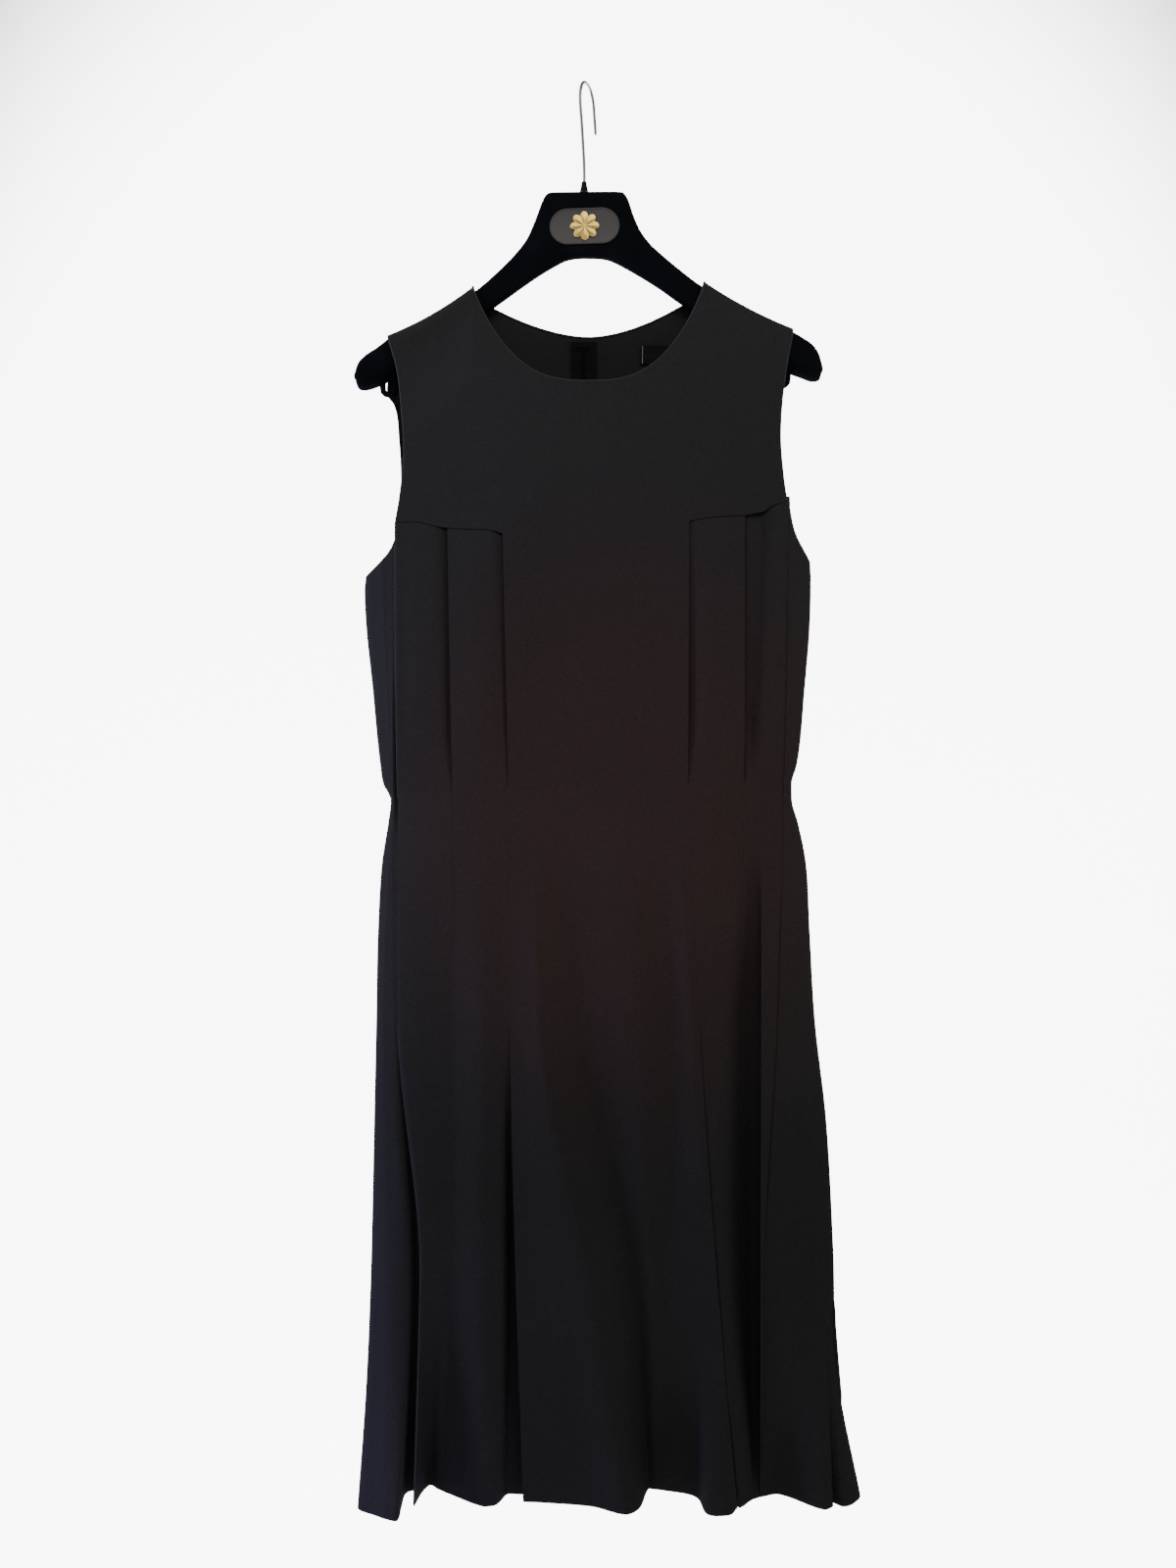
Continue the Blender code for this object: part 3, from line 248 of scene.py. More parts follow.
# Fold lines: x at yoke, waist, hip, knee and hem; depth behind the plain section at
# yoke, ribs, hip, knee and hem (minus stands forward); columns to the next line.
YOKE, RIBS, WAIST, HIP, KNEE, HEM = -410.0, -580.0, -650.0, -857.0, -1080.0, -1289.0
PLACES = (YOKE, WAIST, HIP, KNEE, HEM)
DEPTH_PLACES = (YOKE, RIBS, WAIST, HIP, KNEE, HEM)
LEVEL_BELOW = -505.0        # the rows follow the yoke seam above this and are level below
FRONT_CENTRE = (
    (-76.0, -71.0, -69.5, -64.5, -58.0, 0.0, -0.8, 0.0, -1.0, 0.0, 12),
    (-60.0, -60.0, -58.0, -47.0, -40.0, 0.0, -0.6, -1.5, -2.0, -1.0, 7),
    (-50.0, -52.0, -50.0, -22.0, 4.0, 0.0, -0.3, -3.2, -5.5, -9.0, 8),
    (-38.0, -45.0, -41.0, 3.0, 34.0, 0.0, 0.0, -4.5, -9.0, -24.0, 8),
    (-26.0, -29.0, -24.0, 20.0, 47.0, 0.0, 0.0, 2.0, 1.5, -13.0, 7),
    (-12.0, -12.0, -6.0, 36.0, 57.0, 0.0, 0.0, 6.5, 11.0, 24.0, 10),
    (28.0, 30.0, 44.0, 55.0, 62.5, 0.0, 0.0, -3.0, 2.0, 23.0, 12),
    (56.0, 68.0, 77.0, 72.5, 68.0, 0.0, 0.0, 3.5, 4.6, 22.0, 12),
    (66.0, 76.0, 86.0, 92.0, 98.5, 0.0, -0.3, 0.5, 2.4, 9.0, 8),
    (76.0, 83.0, 93.0, 103.0, 107.5, 0.0, -0.6, -1.6, 0.2, -24.0, 8),
    (84.0, 87.0, 97.0, 110.0, 127.0, 0.0, -0.8, -0.8, -1.0, -25.0, 8),
    (92.0, 91.2, 100.8, 116.8, 135.0, 0.0, -0.8, 0.0, -2.0, -13.0, 0))
LEVELS = np.unique(np.concatenate((
    np.linspace(HEM, YOKE, 170),
    (-411.2, -412.4, -413.6, -632.0, -638.0, -641.0, -643.0, -645.0, -648.0, -857.0,
     -860.0, -864.0))))[::-1]


def fold_depth(row, z, late=1.0):
    """Depth at the heights z; with `late` over 1 the fold opens nearer the hem."""
    share = np.clip((DEPTH_PLACES[-2] - z) / (DEPTH_PLACES[-2] - DEPTH_PLACES[-1]), 0.0, 1.0)
    z = z + (share - share ** late) * (DEPTH_PLACES[-2] - DEPTH_PLACES[-1])
    return along(z, DEPTH_PLACES, (*row[5:7], 0.0, *row[7:10]))


def fold_line(row, z, late=1.0):
    """x and y of one fold line at the heights z."""
    x = along(z, PLACES, row[:5])
    return np.stack((x, plain_depth(x, z, -1.0) + fold_depth(row, z, late)), axis=-1)


def hem_drop(x, z):
    """How far the hem hangs below its level, mm: most at the two outer flutes."""
    return ((2.5 + 1.0 * smooth((-160.0 - x) / 15.0))
            * smooth((-1150.0 - z) / 139.0))


def across_folds(lines, counts):
    """Smooth curve across fold lines [line, row, 2]: between two lines a cubic whose end
    slopes follow the lines on both sides, `counts` columns from each to the next."""
    lines = np.asarray(lines)
    lines = np.concatenate((2 * lines[:1] - lines[1:2], lines, 2 * lines[-1:] - lines[-2:-1]))
    columns = [lines[1][:, None]]
    for k, count in enumerate(counts):
        a, b, c, d = lines[k:k + 4, :, None]
        reach = np.linalg.norm(c - b, axis=-1, keepdims=True)
        before = (c - a) * reach / (np.linalg.norm(b - a, axis=-1, keepdims=True) + reach)
        after = (d - b) * reach / (np.linalg.norm(d - c, axis=-1, keepdims=True) + reach)
        t = (np.arange(1, count + 1) / count)[None, :, None]
        columns.append((1 + 2 * t) * (1 - t) ** 2 * b + t * (1 - t) ** 2 * before
                       + t * t * (3 - 2 * t) * c - t * t * (1 - t) * after)
    return np.concatenate(columns, axis=1)


YOKE_SEAM = (                               # x, z
    (-173.6, -403.6), (-152.0, -404.2), (-131.0, -409.6), (-111.0, -411.4),
    (-93.0, -411.8), (-82.0, -413.6), (-78.0, -415.5), (92.0, -404.5), (106.0, -401.5),
    (121.0, -400.0), (142.5, -398.6), (160.0, -395.0), (167.0, -389.5), (181.4, -384.0))


def yoke_height(x):
    return np.interp(x, *zip(*YOKE_SEAM))


def front_rows(table, start=None, end=None, tuck=4.0, late=1.0):
    """Grid [row, column, xyz] of a front panel from the yoke seam down to the hem.

    `start` and `end` give the edge line where it lies under the next panel.  The top
    is tucked under the yoke by `tuck` mm.
    """
    lines = [fold_line(row, LEVELS, late) for row in table]
    if start is not None:
        lines[0] = start(LEVELS)
    if end is not None:
        lines[-1] = end(LEVELS)
    plan = across_folds(lines, [row[-1] for row in table[:-1]])
    x = plan[..., 0]
    rise = yoke_height(x) - LEVELS[0]
    z = LEVELS[:, None] + rise * np.clip(
        (LEVELS[:, None] - LEVEL_BELOW) / (YOKE - LEVEL_BELOW), 0.0, 1.0)
    y = plan[..., 1] + unevenness(x, z)
    z = z - hem_drop(x, z)
    if tuck:
        y = y + 1.5 * smooth((z - yoke_height(x) + 1.5) / 1.5)
        top = np.stack((x[:1], y[:1] + 0.2, z[:1] + tuck), axis=-1)
        return np.concatenate((top, np.stack((x, y, z), axis=-1)))
    return np.stack((x, y, z), axis=-1)


def coons(top, bottom, left, right, shares):
    """Patch in x, z between four edges: the two ruled surfaces less the corner blend."""
    s = np.linspace(0.0, 1.0, len(top))[None, :, None]
    t = np.asarray(shares)[:, None, None]
    corners = ((1 - t) * ((1 - s) * top[0] + s * top[-1])
               + t * ((1 - s) * bottom[0] + s * bottom[-1]))
    return ((1 - t) * top[None] + t * bottom[None]
            + (1 - s) * left[:, None] + s * right[:, None] - corners)


def neckline(start, end, tops, low, power, count):
    """Neck curve in x, z: low + (top - low) |u|^power, u from the middle to a neck point,
    with its points closer together at the ends."""
    share = np.linspace(0.0, 1.0, count)
    x = start + (end - start) * (0.5 * share + 0.25 - 0.25 * np.cos(math.pi * share))
    middle = 0.5 * (NECK_LEFT[0] + NECK_RIGHT[0])
    edge = np.where(x < middle, NECK_LEFT[0], NECK_RIGHT[0])
    reach = np.abs((x - middle) / (edge - middle)) ** power
    upper = np.where(x < middle, *tops)
    return np.stack((x, low + (upper - low) * reach / max(reach[0], reach[-1])), axis=-1)


SHOULDER_COLUMNS = 44
NECK_SHARE = 0.034                          # the neckline starts this far down the yoke
NECK_ROW = 9
SHARES = np.concatenate((NECK_SHARE * np.linspace(0.0, 1.0, NECK_ROW + 1) ** 2,
                         NECK_SHARE + (1.0 - NECK_SHARE) * np.linspace(0.0, 1.0, 76)[1:] ** 1.4))


def over_shoulder(side, armhole, seam):
    """Patch in x, z over one shoulder: neck to armhole, shoulder line to `seam`."""
    neck = NECK_LEFT if side < 0 else NECK_RIGHT
    length = (SHOULDER_LEFT if side < 0 else SHOULDER_RIGHT)[0]
    x = neck[0] + side * np.linspace(0.0, length, SHOULDER_COLUMNS)
    top = np.stack((x, shoulder_height(x)), axis=-1)
    inner = top[0] + SHARES[:, None] * (seam[0] - top[0])
    z = armhole[0][0] + SHARES * (armhole[-1][0] - armhole[0][0])
    outer = np.stack((along(z, *zip(*armhole)), z), axis=-1)
    outer[0], outer[-1] = top[-1], seam[-1]
    return coons(top, seam, inner, outer, SHARES)


def raised(flat, side):
    """Give a patch in x, z its y."""
    x, z = flat[..., 0], flat[..., 1]
    return np.stack((x, plain_depth(x, z, side) + unevenness(x, z), z), axis=-1)


ARMHOLE_FRONT_LEFT = (                      # z, x
    (-231.0, -182.0), (-263.0, -172.5), (-300.0, -168.0), (-339.0, -165.6),
    (-383.0, -169.8), (-404.0, -173.6))
ARMHOLE_FRONT_RIGHT = (
    (-224.0, 188.0), (-267.0, 180.0), (-325.0, 175.2), (-365.0, 178.4), (-384.0, 181.4))

body = front_rows(FRONT_CENTRE, tuck=0.0, late=1.7)
seam_row = body[0][:, [0, 2]]
seam_left_x = np.linspace(seam_row[0, 0], YOKE_SEAM[0][0], SHOULDER_COLUMNS)
seam_right_x = np.linspace(seam_row[-1, 0], YOKE_SEAM[-1][0], SHOULDER_COLUMNS)
left = over_shoulder(-1.0, ARMHOLE_FRONT_LEFT,
                     np.stack((seam_left_x, yoke_height(seam_left_x)), -1))[:, ::-1]
right = over_shoulder(1.0, ARMHOLE_FRONT_RIGHT,
                      np.stack((seam_right_x, yoke_height(seam_right_x)), -1))
neck_front = neckline(left[NECK_ROW, -1, 0], right[NECK_ROW, 0, 0],
                      (left[NECK_ROW, -1, 1], right[NECK_ROW, 0, 1]), -279.4, 2.9,
                      len(seam_row))
below_neck = (SHARES[NECK_ROW:] - NECK_SHARE) / (1.0 - NECK_SHARE)
middle = coons(neck_front, seam_row, left[NECK_ROW:, -1], right[NECK_ROW:, 0], below_neck)
middle = np.concatenate((np.repeat(middle[:1], NECK_ROW, axis=0), middle))
middle[:NECK_ROW, 0], middle[:NECK_ROW, -1] = left[:NECK_ROW, -1], right[:NECK_ROW, 0]
yoke = raised(np.concatenate((left[:, :-1], middle, right[:, 1:]), axis=1), -1.0)
yoke[-1, SHOULDER_COLUMNS - 1:SHOULDER_COLUMNS - 1 + len(seam_row)] = body[0]

first = SHOULDER_COLUMNS - 1
last = first + len(seam_row) - 1
below = np.repeat(yoke[-1:], len(body) - 1, axis=0)
below[:, first:last + 1] = body[1:]
front_grid = np.concatenate((yoke, below))
front_keep = np.ones((front_grid.shape[0] - 1, front_grid.shape[1] - 1), bool)
front_keep[:NECK_ROW, first:last] = False
front_keep[len(yoke) - 1:, :first] = False
front_keep[len(yoke) - 1:, last:] = False


# Charcoal wool-and-silk crepe: tightly twisted threads give a dry, matt, faintly
# pebbled face that keeps a soft sheen only at grazing angles.
CREPE_PEBBLE = 1.3          # mm; real pebbles are 0.4, drawn as coarse as they show
THREAD = 0.9                # mm from thread to thread; real 0.35, drawn coarser too
crepe = new_material("charcoal wool crepe")
place = node(crepe, "ShaderNodeTexCoord").outputs["Object"]
pebble = node(crepe, "ShaderNodeTexNoise", {
    "Vector": place, "Scale": 1.0 / (CREPE_PEBBLE * MM), "Detail": 2.0, "Roughness": 0.6})
threads = node(crepe, "ShaderNodeTexWave", {
    "Vector": place, "Scale": 0.314 / (THREAD * MM), "Distortion": 1.5, "Detail": 1.0,
    "Detail Scale": 2.0}, wave_type="BANDS", bands_direction="Z")
cloud = node(crepe, "ShaderNodeTexNoise", {
    "Vector": place, "Scale": 5.0, "Detail": 1.0, "Roughness": 0.4})
split = node(crepe, "ShaderNodeSeparateXYZ", {"Vector": place})
# The colour changes softly by place: painted light, a warm cast at the waist and a cool cast of
# window light low on the left, both on the front only.
# All round it darkens by a quarter from waist to knee, painted shade where the light falls off.
on_front = node(crepe, "ShaderNodeMapRange", {
    "Value": split.outputs["Y"], "From Min": 0.0, "From Max": 0.012, "To Min": 1.0,
    "To Max": 0.0}, interpolation_type="SMOOTHSTEP")
# Painted light: a warm cast of room light over the waist.
painted_warm_light = node(crepe, "ShaderNodeMapRange", {
    "Value": node(crepe, "ShaderNodeVectorMath", {
        0: node(crepe, "ShaderNodeMapping", {
            "Vector": place, "Location": (-0.126, 0.0, 2.19),
            "Scale": (4.2, 0.0, 3.2)}).outputs["Vector"]},
        operation="LENGTH").outputs["Value"],
    "From Min": 0.3, "From Max": 1.15, "To Min": on_front.outputs["Result"],
    "To Max": 0.0}, interpolation_type="SMOOTHSTEP")
# Painted light: a cool cast of window light on the lower left.
painted_cool_light = node(crepe, "ShaderNodeMapRange", {
    "Value": node(crepe, "ShaderNodeVectorMath", {
        0: place, 1: (-4.0, 0.0, -1.6)}, operation="DOT_PRODUCT").outputs["Value"],
    "From Min": 1.95, "From Max": 2.7, "To Min": 0.0,
    "To Max": on_front.outputs["Result"]}, interpolation_type="SMOOTHSTEP")
plain = node(crepe, "ShaderNodeMix", {
    0: painted_cool_light.outputs["Result"], 6: linear("#2a2a2b"), 7: linear("#302e35")},
    data_type="RGBA")
tone = node(crepe, "ShaderNodeMix", {
    0: painted_warm_light.outputs["Result"], 6: plain.outputs[2], 7: linear("#342a2a")},
    data_type="RGBA")
grain = node(crepe, "ShaderNodeMapRange", {
    "Value": pebble.outputs["Fac"], "From Min": 0.3, "From Max": 0.7,
    "To Min": 0.86, "To Max": 1.14})
patchy = node(crepe, "ShaderNodeMapRange", {
    "Value": cloud.outputs["Fac"], "From Min": 0.3, "From Max": 0.7,
    "To Min": 0.96, "To Max": 1.04})
# Painted shade: the cloth is darker towards the hem, where the light falls off.
painted_shade_downward = node(crepe, "ShaderNodeMapRange", {
    "Value": split.outputs["Z"], "From Min": -1.02, "From Max": -0.7, "To Min": 0.75,
    "To Max": 1.0}, interpolation_type="SMOOTHSTEP")
shade = node(crepe, "ShaderNodeVectorMath", {
    0: node(crepe, "ShaderNodeVectorMath", {
        0: tone.outputs[2], 3: grain.outputs["Result"]}, operation="SCALE").outputs["Vector"],
    3: node(crepe, "ShaderNodeMath", {
        0: patchy.outputs["Result"], 1: painted_shade_downward.outputs["Result"]},
        operation="MULTIPLY").outputs["Value"]}, operation="SCALE")
relief = node(crepe, "ShaderNodeMath", {
    0: pebble.outputs["Fac"], 1: 0.35, 2: threads.outputs["Fac"]}, operation="MULTIPLY_ADD")
finish_material(crepe, node(crepe, "ShaderNodeBsdfPrincipled", {
    "Base Color": shade.outputs["Vector"], "Roughness": 0.9, "Specular IOR Level": 0.0,
    "Sheen Weight": 0.02, "Sheen Roughness": 0.45, "Sheen Tint": linear("#c9c4c6"),
    "Normal": node(crepe, "ShaderNodeBump", {
        "Height": relief.outputs["Value"], "Strength": 0.22,
        "Distance": 0.25 * MM}).outputs["Normal"]}))

# The turned and pressed edges take a lighter copy of the crepe: a painted highlight where the fold
# catches light.
edge_highlight_crepe = crepe.copy()
edge_highlight_crepe.name = "charcoal wool crepe, painted edge highlight"
for part, socket, colour in ((plain, 6, "#3f3f41"), (plain, 7, "#454550"), (tone, 7, "#4a3f3f")):
    edge_highlight_crepe.node_tree.nodes[part.name].inputs[socket].default_value = linear(colour)

CLOTH = 0.8                 # mm


def grid_normals(grid, outward):
    """Unit normals [row, column, xyz] from the differences down and across."""
    down = np.gradient(grid, axis=0)
    side = np.gradient(grid, axis=1)
    cross = outward * np.cross(down, side)
    return cross / np.maximum(np.linalg.norm(cross, axis=-1, keepdims=True), 1e-9)


def cloth_panel(name, grid, replaced, keep=None, outward=1.0):
    """Thin cloth on a grid of points: quads between neighbours, thickened inwards."""
    rows, columns = grid.shape[:2]
    index = np.arange(rows * columns).reshape(rows, columns)
    faces = np.stack((index[:-1, :-1], index[1:, :-1], index[1:, 1:], index[:-1, 1:]), -1)
    faces = faces[keep] if keep is not None else faces.reshape(-1, 4)
    if outward < 0:
        faces = faces[:, ::-1]
    used, packed = np.unique(faces, return_inverse=True)
    piece = mesh_piece(name, grid.reshape(-1, 3)[used], packed.reshape(-1, 4), crepe)
    # The cut edges stay sharp, so the shading of the face runs level up to them.
    loops = np.empty(len(piece.data.loops), int)
    piece.data.loops.foreach_get("edge_index", loops)
    piece.data.edges.foreach_set("use_edge_sharp", np.bincount(loops) == 1)
    wall = piece.modifiers.new("cloth", "SOLIDIFY")
    wall.thickness = CLOTH * MM
    wall.offset = -1.0
    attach(piece, "dress_on_hanger")
    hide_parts(replaced)
    return piece


def ring_faces(index, reverse=False):
    """Quads [n, 4] between the rows of an index grid whose columns close into rings;
    `reverse` keeps them facing out where the rings run the other way round."""
    after = np.roll(index, -1, axis=1)
    corners = (index[:-1], after[:-1], after[1:], index[1:])
    if reverse:
        corners = (corners[0], *corners[:0:-1])
    return np.stack(corners, -1).reshape(-1, 4)


def tube(path, radius, sides=8, frame_hint=None):
    """Points and faces of a round tube along a path [n, 3], open at both ends."""
    path = np.asarray(path, float)
    way = np.gradient(path, axis=0)
    way /= np.maximum(np.linalg.norm(way, axis=1, keepdims=True), 1e-9)
    hint = np.array((0.0, 1.0, 0.3)) if frame_hint is None else frame_hint
    one = np.cross(way, hint)
    one /= np.maximum(np.linalg.norm(one, axis=1, keepdims=True), 1e-9)
    two = np.cross(way, one)
    turn = np.linspace(0.0, 2.0 * math.pi, sides, endpoint=False)[None, :, None]
    radius = np.broadcast_to(np.asarray(radius, float), (len(path),))[:, None, None]
    ring = path[:, None] + radius * (np.cos(turn) * one[:, None] + np.sin(turn) * two[:, None])
    return ring.reshape(-1, 3), ring_faces(np.arange(len(path) * sides).reshape(-1, sides))


def joined(parts):
    """Points and faces of several meshes as one."""
    counts = np.cumsum([0] + [len(points) for points, _ in parts[:-1]])
    return (np.concatenate([points for points, _ in parts]),
            np.concatenate([faces + start for (_, faces), start in zip(parts, counts)]))


def rolled_edges(name, grid, outward, paths, cloth=crepe):
    """The turned edges of a panel: a thin roll along each path of grid places."""
    normals = grid_normals(grid, outward)
    parts = []
    for rows, columns, radius in paths:
        centre = grid[rows, columns] - normals[rows, columns] * radius
        parts.append(tube(centre, radius, frame_hint=normals[rows, columns]))
    piece = mesh_piece(name, *joined(parts), cloth)
    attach(piece, "dress_on_hanger")
    return piece


bottom = front_grid.shape[0] - 1
yoke_rows = np.arange(0, len(yoke))
neck_columns = np.arange(first, last + 1)
front_centre = cloth_panel("front_centre_cloth", front_grid, "front_centre", front_keep)
# The neck and armhole rolls carry the painted edge highlight.
front_edges = rolled_edges("front_centre_edges", front_grid, 1.0, (
    (np.concatenate((np.arange(0, NECK_ROW), np.full(len(neck_columns), NECK_ROW),
                     np.arange(NECK_ROW - 1, -1, -1))),
     np.concatenate((np.full(NECK_ROW, first), neck_columns, np.full(NECK_ROW, last))), 0.9),
    (yoke_rows, np.zeros(len(yoke), int), 0.9),
    (yoke_rows, np.full(len(yoke), front_grid.shape[1] - 1), 0.9)), edge_highlight_crepe)
front_hem = rolled_edges("front_centre_hem", front_grid, 1.0, (
    (np.full(last - first + 1, bottom), np.arange(first, last + 1), 0.5),))

# ---- Middle and side front panels -----------------------------------------------------
# Two gores on each side of the centre, gathered by knife pleats in the bodice that
# open in the skirt.  At each seam one panel's edge lies under the next one's fold.
MIDDLE_LEFT = (
    (-126.0, -121.8, -118.3, -121.0, -129.0, 0.0, -0.8, 2.8, 5.6, 14.0, 12),
    (-101.0, -97.0, -95.0, -98.0, -95.0, 0.0, -1.4, -1.0, -0.6, -9.6, 8),
    (-91.0, -84.0, -83.0, -83.0, -83.0, 0.0, -0.8, -0.6, 0.6, -7.5, 8),
    (-85.0, -78.0, -75.0, -75.0, -77.5, 0.2, 0.0, 0.0, 3.0, 2.0, 6),
    (-80.0, -74.2, -71.9, -70.8, -72.5, 2.0, 0.4, 0.0, 18.0, 14.0, 6),
    (-77.4, -72.5, -70.5, -66.0, -62.0, 2.6, 1.8, 0.0, 21.0, 14.0, 5),
    (-76.0, -71.0, -69.5, -64.5, -58.0, 0.0, 0.0, 0.0, 0.0, 0.0, 0))
SIDE_LEFT = (
    (-174.0, -172.9, -171.2, -150.8, -155.3, 0.0, -1.8, -0.8, -1.5, -12.0, 5),
    (-172.0, -171.0, -168.5, -148.8, -153.4, -0.3, -1.9, -1.2, -1.6, 0.0, 6),
    (-166.0, -164.5, -161.0, -146.5, -151.0, 0.0, -1.0, -0.8, -1.0, 14.0, 6),
    (-156.0, -154.0, -152.0, -141.0, -145.5, 0.0, -1.0, 0.0, 1.0, 28.0, 8),
    (-138.0, -134.0, -130.0, -132.0, -138.0, 0.2, 0.2, 2.4, 4.0, 21.0, 7),
    (-131.5, -126.8, -122.5, -125.5, -133.0, 1.6, 1.4, 3.0, 5.6, 17.3, 6),
    (-128.0, -123.8, -119.8, -122.4, -130.2, 3.4, 4.2, 3.0, 5.8, 14.8, 5),
    (-126.0, -121.8, -118.3, -121.0, -129.0, 0.0, 0.0, 2.8, 5.6, 14.0, 0))
MIDDLE_RIGHT = (
    (92.0, 91.2, 100.8, 116.8, 135.0, 0.0, 0.0, 0.0, 0.0, -4.0, 8),
    (94.2, 93.4, 102.4, 118.3, 136.4, 0.9, 3.2, 0.2, -0.6, -11.5, 6),
    (101.0, 100.5, 107.0, 121.5, 140.5, 0.0, -0.4, 0.6, 1.0, -9.5, 7),
    (122.0, 121.0, 117.0, 127.5, 146.0, 0.0, -1.4, 2.4, 5.0, -2.0, 8),
    (136.0, 136.5, 128.5, 133.0, 149.5, 0.0, -0.8, 7.5, 11.5, 2.0, 10),
    (142.5, 142.0, 137.0, 139.0, 151.5, 0.0, -0.8, 15.0, 21.0, 4.0, 0))
SIDE_RIGHT = (
    (142.5, 142.0, 137.0, 139.0, 151.5, 0.0, 0.0, 15.0, 21.0, 4.0, 6),
    (144.8, 144.6, 140.5, 142.5, 153.0, 3.4, 8.5, 19.0, 27.0, 5.0, 6),
    (151.0, 149.0, 149.0, 151.5, 155.0, 4.6, 7.5, 24.0, 34.0, 6.2, 6),
    (158.0, 153.5, 158.2, 161.0, 156.6, 5.0, 3.4, 21.0, 29.0, 7.2, 6),
    (162.0, 157.2, 158.8, 159.3, 157.2, 3.2, 0.8, 5.0, 7.0, 7.6, 6),
    (168.0, 160.0, 157.0, 156.8, 157.6, 0.6, 0.0, 0.3, 0.5, 7.6, 6),
    (175.0, 167.0, 161.3, 158.6, 157.9, -0.4, -0.4, -0.6, 0.6, 7.4, 8),
    (183.5, 179.0, 172.3, 160.2, 158.2, 0.0, 0.0, 0.0, 2.0, 7.0, 0))
WRAP_RIGHT_EDGE = (183.8, 179.3, 172.6, 160.5, 158.3, -1.2, -1.4, 0.0, 2.0, 7.0, 0)
SEAM_LINES = {"inner left": FRONT_CENTRE[0], "inner right": FRONT_CENTRE[-1],
              "outer left": MIDDLE_LEFT[0], "outer right": MIDDLE_RIGHT[-1],
              "side left": SIDE_LEFT[0], "side right": WRAP_RIGHT_EDGE}
# The under panel at each seam: z, how far its edge goes in, how far it lies behind.
UNDER = {
    "inner left": (
        (-400.0, 5.0, 5.0), (-428.0, 4.0, 5.0), (-455.0, 2.5, 4.0), (-600.0, 2.5, 3.6),
        (-632.0, 1.8, 2.6), (-640.0, 1.2, 1.4), (-645.0, 0.5, 0.06), (-857.0, 0.5, 0.06),
        (-864.0, 1.0, 1.0), (-885.0, 2.5, 3.0), (-920.0, 4.0, 8.0), (-1080.0, 5.0, 16.0),
        (-1289.0, 5.0, 14.0)),
    "inner right": (
        (-400.0, 5.0, 3.0), (-460.0, 2.0, 4.6), (-560.0, 1.6, 6.6), (-600.0, 1.6, 5.6),
        (-625.0, 1.8, 3.0), (-636.0, 1.2, 1.6), (-642.0, 0.5, 0.06), (-857.0, 0.5, 0.06),
        (-864.0, 1.0, 1.0), (-885.0, 2.0, 2.4), (-920.0, 3.0, 4.0), (-1080.0, 3.5, 7.0),
        (-1289.0, 4.0, 12.0)),
    "outer left": (
        (-400.0, 5.0, 5.0), (-420.0, 4.0, 6.0), (-500.0, 3.0, 6.0), (-600.0, 2.5, 4.6),
        (-632.0, 1.8, 3.0), (-642.0, 1.2, 1.4), (-649.0, 0.5, 0.06), (-1289.0, 0.5, 0.06)),
    "outer right": (
        (-390.0, 5.0, 5.0), (-440.0, 2.5, 8.0), (-560.0, 1.5, 11.0), (-600.0, 1.5, 9.0),
        (-628.0, 1.5, 5.4), (-638.0, 1.2, 2.4), (-643.0, 0.5, 0.06), (-1289.0, 0.5, 0.06)),
    "side left": (
        (-404.0, 4.0, 0.9), (-500.0, 4.0, 0.9), (-540.0, 4.0, 2.0), (-590.0, 3.0, 9.0),
        (-645.0, 3.0, 12.0), (-690.0, 4.0, 1.6), (-857.0, 4.0, 1.4), (-900.0, 5.0, 5.0),
        (-950.0, 6.0, 11.0), (-1080.0, 5.0, 20.0), (-1289.0, 4.0, 32.0)),
    "side right": (
        (-404.0, 0.5, 0.06), (-740.0, 0.5, 0.06), (-752.0, 1.0, 0.9), (-857.0, 2.0, 1.0),
        (-950.0, 2.5, 1.8), (-1080.0, 3.0, 4.0), (-1240.0, 3.0, 6.0), (-1289.0, 1.0, 1.0))}


def under_edge(seam, away):
    """Edge line of the under panel of a seam; `away` is +1 where it runs to larger x."""
    rows = sorted(UNDER[seam])
    places = [row[0] for row in rows]

    def line(z):
        x = (along(z, PLACES, SEAM_LINES[seam][:5])
             + away * np.interp(z, places, [row[1] for row in rows]))
        sink = np.interp(z, places, [row[2] for row in rows])
        return np.stack((x, plain_depth(x, z, -1.0) + fold_depth(SEAM_LINES[seam], z) + sink), -1)
    return line


for name, replaced, table, start, end, size, area in (
        ("front_middle_left_cloth", "front_middle_left", MIDDLE_LEFT,
         None, under_edge("inner left", 1.0), (0.09, 0.90), 0.063),
        ("front_middle_right_cloth", "front_middle_right", MIDDLE_RIGHT,
         under_edge("inner right", -1.0), None, (0.09, 0.91), 0.05),
        ("front_side_left_cloth", "front_side_left", SIDE_LEFT,
         None, under_edge("outer left", 1.0), (0.08, 0.91), 0.055),
        ("front_side_right_cloth", "front_side_right", SIDE_RIGHT,
         under_edge("outer right", -1.0), under_edge("side right", 1.0), (0.08, 0.93), 0.05)):
    grid = front_rows(table, start, end, late=2.2 if table is SIDE_RIGHT else 1.0)
    rows, columns = np.arange(1, grid.shape[0]), np.arange(grid.shape[1])
    panel = cloth_panel(name, grid, replaced)
    edges = [rolled_edges(replaced + "_hem", grid, 1.0, (
        (np.full(len(columns), rows[-1]), columns, 0.5),))]
    if replaced == "front_side_left":
        shown = (rows[LEVELS > -655.0], rows[LEVELS < -858.0])
        # The side fold's roll carries the painted edge highlight.
        edges.append(rolled_edges("front_side_left_fold", grid, 1.0, [
            (run, np.zeros(len(run), int), 0.8) for run in shown], edge_highlight_crepe))

